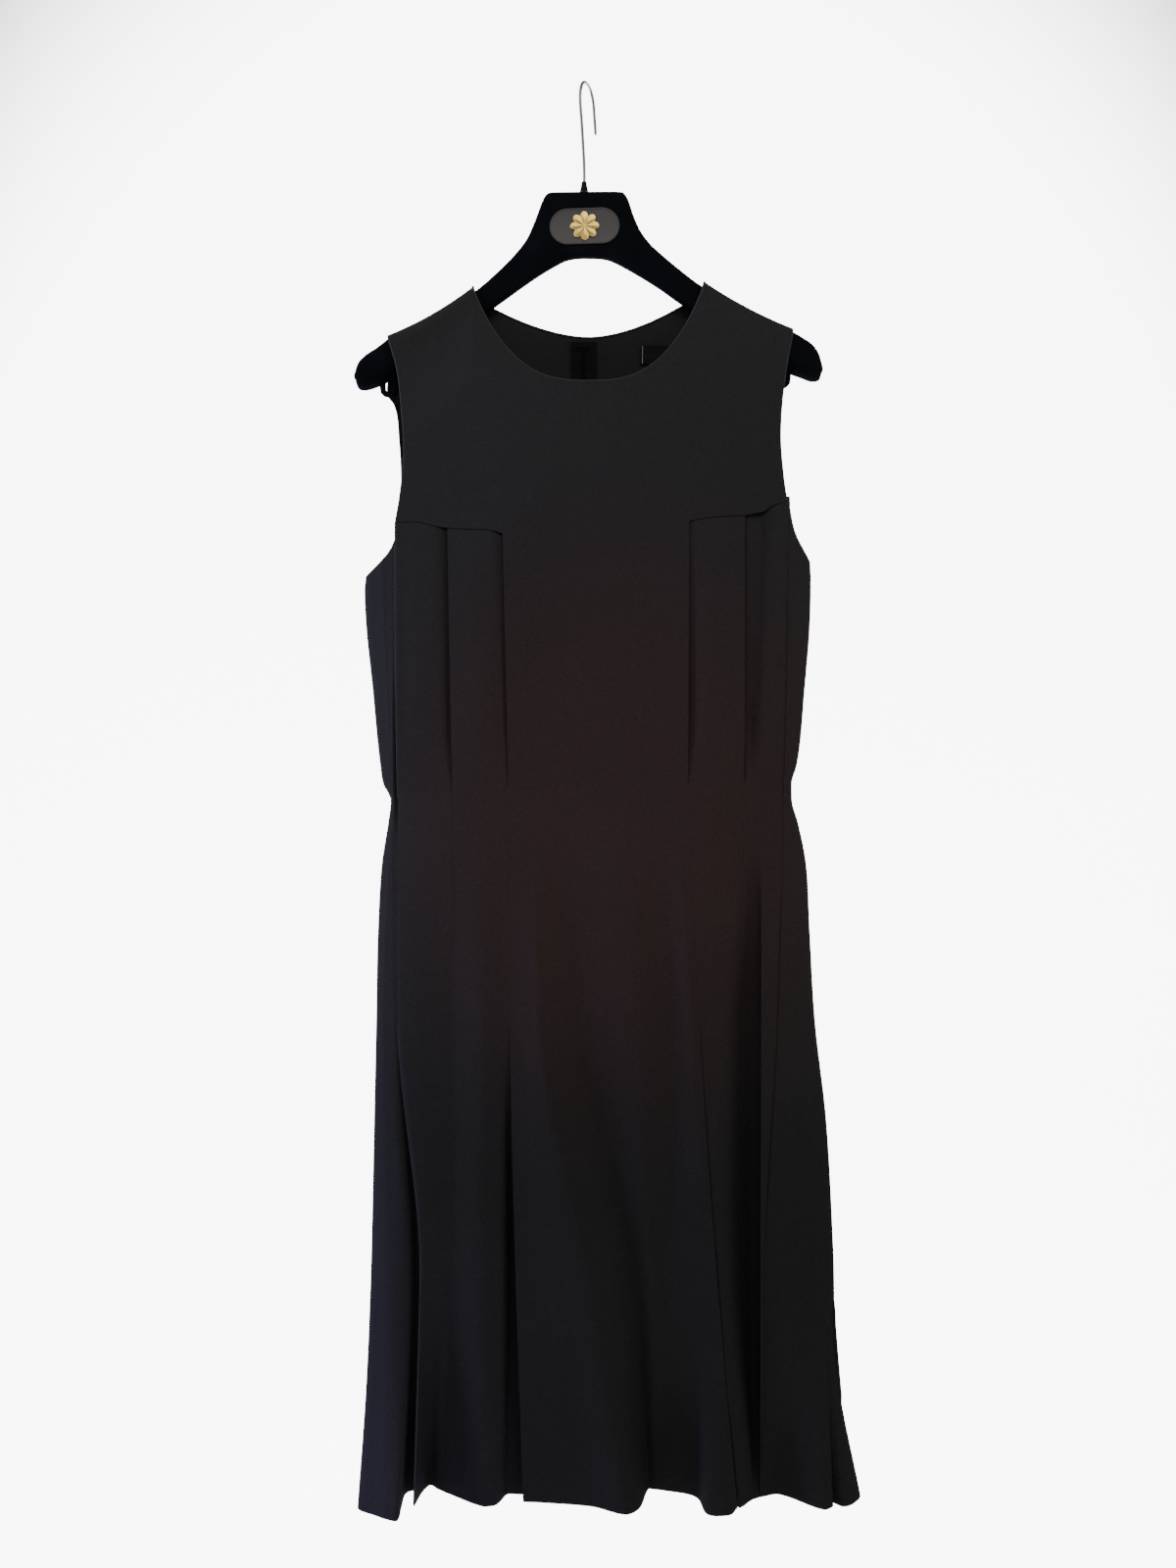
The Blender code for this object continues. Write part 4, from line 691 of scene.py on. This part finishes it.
# ---- Back panels -----------------------------------------------------------------------
# Left and right halves from the centre-back zip round the side to the front's side
# seams, with deep armholes.  The skirt falls in loose flutes like the front's.
BACK = (                    # share of the half width, depth at hip, knee and hem, columns
    (0.0, 0.0, 0.0, -3.0, 10), (0.17, 0.0, 2.0, 7.0, 10), (0.36, 0.0, -3.0, -10.0, 10),
    (0.55, 0.0, 2.0, 9.0, 10), (0.74, 0.0, -2.0, -7.0, 12), (0.945, 0.0, 1.0, 3.0, 8))
SIDE_DEPTH_LEFT = ((-1289.0, -26.0), (-1080.0, -4.0), (-857.0, 0.0), (-462.0, 0.0))
SIDE_DEPTH_RIGHT = ((-1289.0, -4.0), (-1080.0, -3.0), (-857.0, 0.0), (-462.0, 0.0))
WRAP_LEFT = (
    (-190.0, -179.0, -187.0, -184.0, -187.0, 0.0, 0.0, 0.0, -5.0, -33.0, 8),
    (-185.0, -178.4, -182.0, -172.0, -175.5, 0.0, 0.0, 0.0, -5.0, -38.0, 6),
    (-182.0, -177.9, -178.5, -162.5, -167.4, 0.0, -0.3, 0.0, -2.0, -39.0, 6),
    (-179.0, -177.4, -175.0, -158.8, -166.8, 0.0, -0.6, 0.0, 5.0, -13.0, 6),
    (-176.0, -176.8, -173.0, -156.5, -165.2, -0.2, -0.9, 0.4, 14.0, 12.0, 8))
WRAP_RIGHT = (
    (200.0, 185.4, 205.0, 223.0, 240.0, 0.0, 0.0, 0.0, -0.3, -15.5, 6),
    (198.0, 184.8, 202.0, 221.0, 230.5, 0.0, 0.0, 0.0, 0.0, -17.5, 6),
    (195.5, 184.0, 199.0, 219.3, 223.5, 0.0, 0.0, 0.0, 0.0, -10.0, 5),
    (193.5, 183.5, 197.0, 217.8, 220.6, 0.0, 0.0, 0.0, 0.0, -7.0, 5),
    (192.0, 183.0, 195.0, 216.0, 221.9, 0.0, 0.0, 0.0, -0.5, -15.5, 6),
    (190.5, 182.0, 190.0, 206.0, 211.5, 0.0, 0.0, 0.0, -1.0, -20.0, 10),
    (187.2, 180.8, 182.0, 181.0, 176.0, -1.0, -1.4, 0.0, 1.0, 11.0, 8),
    WRAP_RIGHT_EDGE)
ARMHOLE_BACK_LEFT = (
    (-231.0, -182.0), (-268.0, -184.0), (-280.0, -184.6), (-288.0, -179.0), (-322.0, -174.0),
    (-390.0, -172.0), (-440.0, -181.0), (-462.0, -191.0))
ARMHOLE_BACK_RIGHT = (
    (-224.0, 188.0), (-283.0, 178.0), (-322.0, 173.0), (-390.0, 173.5),
    (-430.0, 182.0), (-450.0, 191.0))
CENTRE_BACK_X = -3.0


def back_half(side, wrap, armhole, lowest, seam_z, wrap_end):
    """Grid and mask of one back: a patch from the shoulder to the armhole's foot, then
    curves across its fold lines from the centre back round the side."""
    centre = CENTRE_BACK_X
    levels = np.unique(np.concatenate((LEVELS[LEVELS < lowest], (lowest,))))[::-1]
    edge = along(levels, SECTIONS[:, 0], SECTIONS[:, 1 if side < 0 else 2])
    lines = []
    for row in BACK:
        x = centre + row[0] * (edge - centre)
        y = plain_depth(x, levels, 1.0) + along(levels, DEPTH_PLACES[2:], (0.0, *row[1:4]))
        lines.append(np.stack((x, y), -1))
    side_depth = SIDE_DEPTH_LEFT if side < 0 else SIDE_DEPTH_RIGHT
    lines.append(np.stack((edge, np.interp(levels, *zip(*side_depth))), -1))
    lines += [fold_line(row, levels, 1.0 if row is WRAP_RIGHT_EDGE or side < 0 else 2.2)
              for row in wrap]
    counts = [row[-1] for row in BACK] + [10] + [row[-1] for row in wrap]
    if wrap_end is not None:
        lines.append(wrap_end(levels))
    else:
        counts = counts[:-1]
    plan = across_folds(lines, counts)
    turn = sum(row[-1] for row in BACK)
    ahead = np.clip((plan[0, turn, 0] - plan[0, :, 0])
                    / (plan[0, turn, 0] - plan[0, -1, 0]), 0.0, 1.0)
    # The underarm: a short steep corner, a straight slant and a steep end at the seam.
    lift = (seam_z - lowest) * (0.17 * smooth(ahead / 0.05) + 0.5 * ahead + 0.33 * ahead ** 6)
    lift[:turn] = 0.0
    z = levels[:, None] + lift * np.clip(
        (levels[:, None] - LEVEL_BELOW) / (lowest - LEVEL_BELOW), 0.0, 1.0)
    facing = np.where(np.arange(plan.shape[1]) < turn, 1.0, 0.0)
    y = plan[..., 1] + unevenness(0.8 * plan[..., 0] + 60.0, z) * facing
    lower = np.stack((plan[..., 0], y, z - hem_drop(plan[..., 0], z)), -1)

    width = sum(row[-1] for row in BACK[:-1]) + 1
    split = width - SHOULDER_COLUMNS
    arm = over_shoulder(side, armhole, lower[0, split:width][:, [0, 2]])
    neck = neckline(centre, arm[NECK_ROW, 0, 0], (arm[NECK_ROW, 0, 1],) * 2, -227.0, 1.8,
                    split + 1)
    seam = lower[0, :split + 1][:, [0, 2]]
    centre_line = neck[0] + below_neck[:, None] * (seam[0] - neck[0])
    flat = coons(neck, seam, centre_line, arm[NECK_ROW:, 0], below_neck)
    flat = np.concatenate((np.repeat(flat[:1], NECK_ROW, axis=0), flat))
    x_z = np.concatenate((flat[:, :-1], arm), axis=1)
    upper = np.stack((x_z[..., 0], plain_depth(x_z[..., 0], x_z[..., 1], 1.0)
                      + unevenness(0.8 * x_z[..., 0] + 60.0, x_z[..., 1]), x_z[..., 1]), -1)
    above = np.repeat(lower[:1], len(SHARES) - 1, axis=0)
    above[:, :width] = upper[:-1]
    grid = np.concatenate((above, lower))
    keep = np.ones((grid.shape[0] - 1, grid.shape[1] - 1), bool)
    keep[:NECK_ROW, :split] = False
    keep[:len(SHARES) - 1, width - 1:] = False
    return grid, keep, split, width


for name, replaced, side, wrap, armhole, lowest, seam_z, wrap_end, size, area in (
        ("back_left_cloth", "back_left", -1.0, WRAP_LEFT, ARMHOLE_BACK_LEFT, -462.0, -407.0,
         under_edge("side left", 1.0), (0.29, 1.11), 0.25),
        ("back_right_cloth", "back_right", 1.0, WRAP_RIGHT, ARMHOLE_BACK_RIGHT, -450.0, -386.0,
         None, (0.34, 1.11), 0.27)):
    grid, keep, split, width = back_half(side, wrap, armhole, lowest, seam_z, wrap_end)
    panel = cloth_panel(name, grid, replaced, keep, -side)
    top, foot, out = len(SHARES) - 1, grid.shape[0] - 1, grid.shape[1] - 1
    edges = rolled_edges(replaced + "_edges", grid, -side, (
        (np.concatenate((np.arange(0, NECK_ROW), np.full(split + 1, NECK_ROW))),
         np.concatenate((np.full(NECK_ROW, split), np.arange(split, -1, -1))), 0.9),
        (np.concatenate((np.arange(0, top), np.full(out - width + 2, top))),
         np.concatenate((np.full(top, width - 1), np.arange(width - 1, out + 1))), 0.9),
        (np.full(out + 1, foot), np.arange(0, out + 1), 0.5)))

# ---- Hanger ------------------------------------------------------------------------------
# A moulded body with a flat neck and broad rounded ends, flocked all over: short black
# fibres stand on the surface, so it is almost black with a faint bluish rim.
NAP = 0.5                   # mm; flock fibres bunch at about this size
flock = new_material("black nylon flock")
place = node(flock, "ShaderNodeTexCoord").outputs["Object"]
fibres = node(flock, "ShaderNodeTexNoise", {
    "Vector": place, "Scale": 1.0 / (NAP * MM), "Detail": 3.0, "Roughness": 0.7})
rubbed = node(flock, "ShaderNodeTexNoise", {
    "Vector": place, "Scale": 28.0, "Detail": 2.0, "Roughness": 0.5})
nap_tone = node(flock, "ShaderNodeMix", {
    0: rubbed.outputs["Fac"], 6: linear("#0b0c0f"), 7: linear("#131619")}, data_type="RGBA")
finish_material(flock, node(flock, "ShaderNodeBsdfPrincipled", {
    "Base Color": nap_tone.outputs[2], "Roughness": 0.95, "Specular IOR Level": 0.0,
    "Sheen Weight": 0.012, "Sheen Roughness": 0.35, "Sheen Tint": linear("#7f94bc"),
    "Normal": node(flock, "ShaderNodeBump", {
        "Height": fibres.outputs["Fac"], "Strength": 0.35,
        "Distance": 0.3 * MM}).outputs["Normal"]}))

HANGER_BODY = (             # x, top z (None: under the shoulder), bottom z, half thickness
    (-212.4, -263.0, -271.0, 7.0), (-210.5, -256.5, -277.0, 10.5),
    (-205.0, -249.5, -279.5, 13.0), (-192.0, -240.5, -276.0, 14.0),
    (-180.0, None, -270.0, 14.0), (-160.0, None, -256.5, 13.0),
    (-140.0, None, -242.5, 11.0), (-127.0, None, -233.0, 9.4),
    (-114.0, None, -224.0, 7.8), (-104.0, -189.6, -216.8, 6.8),
    (-84.0, -172.9, -203.0, 6.2), (-66.0, -154.8, -190.0, 5.8),
    (-54.0, -138.5, -181.5, 5.6), (-46.0, -119.5, -176.0, 5.6),
    (-41.0, -106.0, -172.8, 5.6), (-38.0, -100.6, -171.0, 5.6),
    (-33.0, -98.0, -168.0, 5.6), (-18.0, -97.7, -160.5, 5.6),
    (1.0, -97.5, -158.6, 5.6), (20.0, -97.4, -160.5, 5.6),
    (32.0, -97.7, -166.0, 5.6), (37.5, -104.0, -169.0, 5.6),
    (42.0, -117.5, -171.5, 5.6), (48.0, -131.5, -175.0, 5.6),
    (57.0, -144.2, -180.5, 5.8), (67.0, -153.8, -187.0, 6.0),
    (84.5, -168.6, -199.5, 6.2), (107.0, -185.2, -215.0, 6.8),
    (117.0, None, -221.5, 7.8), (130.0, None, -230.0, 9.4),
    (144.0, None, -240.0, 11.0), (164.0, None, -252.5, 13.0),
    (186.0, None, -264.0, 14.0), (198.0, -232.0, -268.5, 14.0),
    (207.0, -238.5, -271.5, 13.0), (213.0, -248.0, -270.5, 10.5),
    (215.2, -256.0, -264.5, 7.0))
places = np.array([row[0] for row in HANGER_BODY])
tops = np.array([float(shoulder_height(row[0])) - 2.6 if row[1] is None else row[1]
                 for row in HANGER_BODY])
bottoms, halves = (np.array([row[k] for row in HANGER_BODY]) for k in (2, 3))
# Sections stand every 2.5 mm, with more at the two round ends.
x = np.concatenate((-212.4 + 12.0 * np.linspace(0.0, 1.0, 9)[:-1] ** 2,
                    np.linspace(-200.4, 203.2, 162),
                    215.2 - 12.0 * np.linspace(1.0, 0.0, 9)[1:] ** 2))
top, foot, half = (along(x, places, values)[:, None] for values in (tops, bottoms, halves))
edge = np.minimum(half, 0.5 * (top - foot))
ROUND = 48                  # points round the body
turn = 2.0 * math.pi * (np.arange(ROUND) + 0.5)[None, :] / ROUND
centre = np.where(np.sin(turn) > 0.0, top - edge, foot + edge)
body_grid = np.stack((np.broadcast_to(x[:, None], centre.shape), half * np.cos(turn),
                      centre + edge * np.sin(turn)), axis=-1)
# The ends close over a small dome.
caps = [(body_grid[at].mean(axis=0) + (way, 0.0, 0.0)
         + (body_grid[at] - body_grid[at].mean(axis=0)) * size)[None]
        for at, way, size in ((0, -0.9, 0.6), (0, -1.2, 0.02), (-1, 0.9, 0.6), (-1, 1.2, 0.02))]
body_grid = np.concatenate((caps[1], caps[0], body_grid, caps[2], caps[3]))
index = np.arange(body_grid.shape[0] * ROUND).reshape(-1, ROUND)
hanger_body = mesh_piece("hanger_flocked_body", body_grid.reshape(-1, 3),
                         ring_faces(index, reverse=True), flock)
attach(hanger_body, "dress_on_hanger")
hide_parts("hanger_body")
# Under each end a moulded loop for straps: x of its two bars, lowest z, half thickness.
for loop, outer, inner, low, half in (("strap_loop_left", -187.6, -175.0, -283.2, 2.7),
                                      ("strap_loop_right", 184.2, 171.0, -274.6, 3.0)):
    way = math.copysign(1.0, inner - outer)
    bars = np.array([
        (outer, 0.0, -262.0), (outer, 0.0, low + 7.0), (outer + 0.6 * way, 0.0, low + 2.4),
        (outer + 3.0 * way, 0.0, low), (inner - 3.0 * way, 0.0, low),
        (inner - 0.6 * way, 0.0, low + 2.4), (inner, 0.0, low + 7.0), (inner, 0.0, -256.0)])
    bars = np.stack([np.interp(np.linspace(0.0, 7.0, 57), np.arange(8), bars[:, k])
                     for k in range(3)], axis=-1)
    moulded = mesh_piece(loop + "_moulded", *tube(bars, half, sides=12), flock)
    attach(moulded, "dress_on_hanger")
    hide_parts(loop)

# ---- Wire hook and collar -----------------------------------------------------------------
# A 2.8 mm steel wire, zinc plated and dulled, bent to a hook that is turned nearly
# square to the hanger.  A tapered black collar covers its foot.
plated = new_material("zinc plated steel wire")
place = node(plated, "ShaderNodeTexCoord").outputs["Object"]
drawn = node(plated, "ShaderNodeTexNoise", {
    "Vector": node(plated, "ShaderNodeMapping", {
        "Vector": place, "Scale": (1.0, 1.0, 0.15)}).outputs["Vector"],
    "Scale": 1500.0, "Detail": 2.0})
finish_material(plated, node(plated, "ShaderNodeBsdfPrincipled", {
    "Base Color": node(plated, "ShaderNodeMix", {
        0: drawn.outputs["Fac"], 6: linear("#77787a"), 7: linear("#9b9c9e")},
        data_type="RGBA").outputs[2],
    "Metallic": 1.0, "Roughness": node(plated, "ShaderNodeMapRange", {
        "Value": drawn.outputs["Fac"], "To Min": 0.32, "To Max": 0.5}).outputs["Result"]}))

HOOK_TURN = math.radians(71.0)
HOOK_PATH = np.array((      # place along the hook's plane, z
    (0.0, -96.9), (0.0, -86.5), (-2.5, -74.0), (-9.5, -56.0), (-16.2, -38.0),
    (-19.8, -25.0), (-19.6, -14.0), (-15.6, -5.6), (-8.2, -0.2), (0.0, 1.4),
    (8.4, -0.1), (14.6, -4.9), (18.0, -12.0), (19.8, -20.0), (21.8, -28.0),
    (23.8, -36.0)))
foot_share = smooth((HOOK_PATH[:, 1] + 30.0) / (-96.9 + 30.0))
hook_lines = np.stack((
    0.4 - 3.1 * foot_share + HOOK_PATH[:, 0] * math.cos(HOOK_TURN),
    HOOK_PATH[:, 0] * math.sin(HOOK_TURN), HOOK_PATH[:, 1]), axis=-1)
wire_path = across_folds(hook_lines[:, None, :], [6] * (len(HOOK_PATH) - 1))[0]
radius = np.full(len(wire_path), 1.4)
radius[-1], radius[-2], radius[0] = 0.1, 1.15, 0.1
hook = mesh_piece("hook_wire", *tube(wire_path, radius, sides=16,
                                     frame_hint=np.array((math.sin(HOOK_TURN),
                                                          -math.cos(HOOK_TURN), 0.0))), plated)
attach(hook, "dress_on_hanger")
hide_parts("hanger_hook")

black_plastic = new_material("moulded black nylon")
place = node(black_plastic, "ShaderNodeTexCoord").outputs["Object"]
mould = node(black_plastic, "ShaderNodeTexNoise", {
    "Vector": place, "Scale": 900.0, "Detail": 2.0})
finish_material(black_plastic, node(black_plastic, "ShaderNodeBsdfPrincipled", {
    "Base Color": node(black_plastic, "ShaderNodeMix", {
        0: mould.outputs["Fac"], 6: linear("#060607"), 7: linear("#0c0c0d")},
        data_type="RGBA").outputs[2],
    "Roughness": 0.7, "Specular IOR Level": 0.15, "Normal": node(black_plastic, "ShaderNodeBump", {
        "Height": mould.outputs["Fac"], "Strength": 0.1,
        "Distance": 0.1 * MM}).outputs["Normal"]}))
profile = np.array((        # radius, z: a turned outline from the bore round the outside
    (1.8, -97.1), (3.5, -97.1), (3.9, -96.8), (3.9, -96.2), (3.6, -95.8), (3.2, -94.0),
    (2.8, -91.6), (2.35, -88.9), (2.1, -88.4), (1.8, -88.3), (1.8, -97.1)))
turn = np.linspace(0.0, 2.0 * math.pi, 32, endpoint=False)[None, :]
collar_grid = np.stack((-2.7 + profile[:, :1] * np.cos(turn), profile[:, :1] * np.sin(turn),
                        np.broadcast_to(profile[:, 1:], (len(profile), 32))), axis=-1)
index = np.arange(collar_grid.shape[0] * 32).reshape(-1, 32)
index[-1] = index[0]
collar = mesh_piece("hook_collar_turned", collar_grid[:-1].reshape(-1, 3),
                    ring_faces(index), black_plastic)
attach(collar, "dress_on_hanger")
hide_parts("hook_collar")

# ---- Front plate with rosette ----------------------------------------------------------------
# A stadium-shaped plate of dark grey plastic with a slightly raised rim.  On it
# stands a plain eight-petalled rosette, die-cast and gold plated.
plate_grey = new_material("satin grey moulded plastic")
place = node(plate_grey, "ShaderNodeTexCoord").outputs["Object"]
mould = node(plate_grey, "ShaderNodeTexNoise", {
    "Vector": place, "Scale": 700.0, "Detail": 3.0, "Roughness": 0.6})
finish_material(plate_grey, node(plate_grey, "ShaderNodeBsdfPrincipled", {
    "Base Color": node(plate_grey, "ShaderNodeMix", {
        0: mould.outputs["Fac"], 6: linear("#1f1e21"), 7: linear("#262528")},
        data_type="RGBA").outputs[2],
    "Roughness": 0.5, "Normal": node(plate_grey, "ShaderNodeBump", {
        "Height": mould.outputs["Fac"], "Strength": 0.12,
        "Distance": 0.12 * MM}).outputs["Normal"]}))
gilt = new_material("gold plated zinc")
place = node(gilt, "ShaderNodeTexCoord").outputs["Object"]
cast = node(gilt, "ShaderNodeTexNoise", {"Vector": place, "Scale": 400.0, "Detail": 2.0})
finish_material(gilt, node(gilt, "ShaderNodeBsdfPrincipled", {
    "Base Color": node(gilt, "ShaderNodeMix", {
        0: cast.outputs["Fac"], 6: linear("#b69d52"), 7: linear("#c4ac62")},
        data_type="RGBA").outputs[2],
    "Metallic": 1.0, "Roughness": node(gilt, "ShaderNodeMapRange", {
        "Value": cast.outputs["Fac"], "To Min": 0.28, "To Max": 0.42}).outputs["Result"]}))

PLATE_CENTRE = np.array((-2.2, 0.0, -131.1))
PLATE_BACK = -5.9           # y of the plate's back face, 0.3 mm off the hanger
ROSETTE_BACK = -7.4         # y of the rosette's back, just clear of the plate
PLATE_TILT = math.radians(2.0)


def on_plate(u, y, v):
    """Points from plate sizes: u across, v up, turned by the plate's tilt."""
    u, y, v = np.broadcast_arrays(u, y, v)
    return PLATE_CENTRE + np.stack((u * math.cos(PLATE_TILT) - v * math.sin(PLATE_TILT), y,
                                    u * math.sin(PLATE_TILT) + v * math.cos(PLATE_TILT)), -1)


turn = np.linspace(-math.pi, math.pi, 96, endpoint=False)[None, :]
loops = np.array((          # radius of the round ends, y: back, side, rim, floor, middle
    (0.01, 0.0), (15.9, 0.0), (16.5, -0.2), (16.5, -0.95), (16.3, -1.15), (15.6, -1.2),
    (15.2, -1.15), (14.9, -1.0), (14.5, -0.95), (0.01, -0.95)))
straight_half = 15.5 * np.sign(np.cos(turn)) * np.minimum(1.0, loops[:, :1] / 14.0)
plate_grid = on_plate(straight_half + loops[:, :1] * np.cos(turn),
                      PLATE_BACK + loops[:, 1:], loops[:, :1] * np.sin(turn))
index = np.arange(plate_grid.shape[0] * 96).reshape(-1, 96)
plate = mesh_piece("hanger_plate_moulded", plate_grid.reshape(-1, 3),
                   ring_faces(index, reverse=True), plate_grey)
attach(plate, "dress_on_hanger")
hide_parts("hanger_plate")

# Petals: radius 9 + 4.5 |cos 4a|^0.8; each swells towards its middle and dips at the heart.
turn = np.linspace(0.0, 2.0 * math.pi, 160, endpoint=False)[None, :]
share = np.array((0.02, 0.1, 0.17, 0.22, 0.3, 0.45, 0.6, 0.75, 0.87, 0.95, 1.0, 1.0))[:, None]
reach = 9.0 + 4.5 * np.abs(np.cos(4.0 * turn)) ** 0.8
swell = 0.55 + 0.45 * np.abs(np.cos(4.0 * turn)) * np.sin(math.pi * np.clip(share, 0.0, 1.0))
heart = 0.5 * np.sqrt(np.clip(1.0 - (share / 0.2) ** 2, 0.0, 1.0))
height = np.maximum(swell * np.sqrt(np.clip(1.04 - share ** 6, 0.0, 1.0)), 0.75 * heart + 0.45)
height[-1] = 0.0
rosette_grid = on_plate(share * reach * np.cos(turn), ROSETTE_BACK - height,
                        share * reach * np.sin(turn))
index = np.arange(rosette_grid.shape[0] * 160).reshape(-1, 160)
rosette = mesh_piece("hanger_rosette_cast", rosette_grid.reshape(-1, 3),
                     ring_faces(index), gilt)
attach(rosette, "dress_on_hanger")
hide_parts("hanger_rosette")

# ---- Zip, hook and eye, and neck label -----------------------------------------------------------
# A concealed zip in the centre back: black woven tape with a fine nylon coil on the
# inside, a small black slider with a pull tab outside, and a hook and eye over it.
tape_cloth = new_material("black polyester zip tape")
place = node(tape_cloth, "ShaderNodeTexCoord").outputs["Object"]
twill = node(tape_cloth, "ShaderNodeTexWave", {
    "Vector": place, "Scale": 0.314 / (1.1 * MM), "Distortion": 0.3}, wave_type="BANDS",
    bands_direction="DIAGONAL")
finish_material(tape_cloth, node(tape_cloth, "ShaderNodeBsdfPrincipled", {
    "Base Color": node(tape_cloth, "ShaderNodeMix", {
        0: twill.outputs["Fac"], 6: linear("#101011"), 7: linear("#161617")},
        data_type="RGBA").outputs[2],
    "Roughness": 0.85, "Specular IOR Level": 0.1, "Normal": node(tape_cloth, "ShaderNodeBump", {
        "Height": twill.outputs["Fac"], "Strength": 0.2,
        "Distance": 0.2 * MM}).outputs["Normal"]}))
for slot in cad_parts["zip_tape"].material_slots:
    slot.material = tape_cloth

enamel = new_material("black enamelled zinc")
place = node(enamel, "ShaderNodeTexCoord").outputs["Object"]
wear = node(enamel, "ShaderNodeTexNoise", {"Vector": place, "Scale": 600.0, "Detail": 3.0})
finish_material(enamel, node(enamel, "ShaderNodeBsdfPrincipled", {
    "Base Color": node(enamel, "ShaderNodeMix", {
        0: wear.outputs["Fac"], 6: linear("#0a0a0b"), 7: linear("#161618")},
        data_type="RGBA").outputs[2],
    "Roughness": node(enamel, "ShaderNodeMapRange", {
        "Value": wear.outputs["Fac"], "To Min": 0.4, "To Max": 0.6}).outputs["Result"],
    "Coat Weight": 0.1}))
for hardware in ("zip_slider", "zip_pull"):
    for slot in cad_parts[hardware].material_slots:
        slot.material = enamel

# The hook and eye: flat black wire sewn over the zip's top, inside the neck edge.
def inside_back(x, z, inward):
    """Points `inward` mm inside the back's outer face at x, z."""
    x, z, inward = np.broadcast_arrays(np.asarray(x, float), z, inward)
    return np.stack((x, plain_depth(x, z, 1.0) - inward, z), axis=-1)


turn = np.linspace(-0.5 * math.pi, 1.5 * math.pi, 40, endpoint=False)
eye = inside_back(CENTRE_BACK_X + 3.2 + 2.6 * np.cos(turn), -237.0 + 1.6 * np.sin(turn), 3.8)
bend = np.linspace(-0.5 * math.pi, 0.5 * math.pi, 14)
hook_bend = np.concatenate((
    inside_back(CENTRE_BACK_X - np.linspace(8.0, 1.5, 8), -235.6, 3.8),
    inside_back(CENTRE_BACK_X - 1.5 + 2.2 * np.cos(bend), -237.0 - 1.4 * np.sin(bend), 4.4),
    inside_back(CENTRE_BACK_X - np.linspace(1.5, 8.0, 8), -238.4, 3.8)))
hook_and_eye = mesh_piece("hook_and_eye", *joined((
    tube(np.concatenate((eye, eye[:1])), 0.4, sides=6), tube(hook_bend, 0.45, sides=6))),
    black_plastic)
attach(hook_and_eye, "dress_on_hanger")

COIL_PITCH = 1.5            # mm from tooth to tooth
tooth_z = np.arange(-240.0, -782.0, -COIL_PITCH / 6.0)
phase = 2.0 * math.pi * tooth_z / COIL_PITCH
coil_y = plain_depth(np.full(len(tooth_z), CENTRE_BACK_X), tooth_z, 1.0) - 4.1
coils = [tube(np.stack((CENTRE_BACK_X + sign * (1.0 + 0.8 * np.sin(phase)),
                        coil_y - 0.55 + 0.45 * np.cos(phase), tooth_z), axis=-1), 0.22, sides=5)
         for sign in (-1.0, 1.0)]
zip_coil = mesh_piece("zip_coil", *joined(coils), black_plastic)
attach(zip_coil, "dress_on_hanger")

# Neck label: a folded band of black satin weave, sewn along its ends in white thread.
satin = new_material("black satin label ribbon")
place = node(satin, "ShaderNodeTexCoord").outputs["Object"]
rib = node(satin, "ShaderNodeTexWave", {
    "Vector": place, "Scale": 0.314 / (0.8 * MM), "Distortion": 0.2}, wave_type="BANDS",
    bands_direction="X")
finish_material(satin, node(satin, "ShaderNodeBsdfPrincipled", {
    "Base Color": node(satin, "ShaderNodeMix", {
        0: rib.outputs["Fac"], 6: linear("#060606"), 7: linear("#0c0c0d")},
        data_type="RGBA").outputs[2],
    "Roughness": 0.6, "Specular IOR Level": 0.2, "Anisotropic": 0.4,
    "Normal": node(satin, "ShaderNodeBump", {
        "Height": rib.outputs["Fac"], "Strength": 0.15,
        "Distance": 0.15 * MM}).outputs["Normal"]}))
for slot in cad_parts["neck_label"].material_slots:
    slot.material = satin
white_thread = new_material("white cotton thread")
place = node(white_thread, "ShaderNodeTexCoord").outputs["Object"]
twist = node(white_thread, "ShaderNodeTexNoise", {"Vector": place, "Scale": 2500.0, "Detail": 2.0})
finish_material(white_thread, node(white_thread, "ShaderNodeBsdfPrincipled", {
    "Base Color": node(white_thread, "ShaderNodeMix", {
        0: twist.outputs["Fac"], 6: linear("#bdbdbb"), 7: linear("#e2e2df")},
        data_type="RGBA").outputs[2], "Roughness": 0.8}))
stitches = []
for x in (51.5, 97.5):
    for z in np.arange(-235.0, -249.0, -2.2):
        share = np.linspace(0.0, 1.0, 6)
        stitches.append(tube(inside_back(x, z - 1.5 * share,
                                         3.0 + 0.25 * np.sin(math.pi * share)), 0.22, sides=6))
label_stitches = mesh_piece("label_stitches", *joined(stitches), white_thread)
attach(label_stitches, "dress_on_hanger")
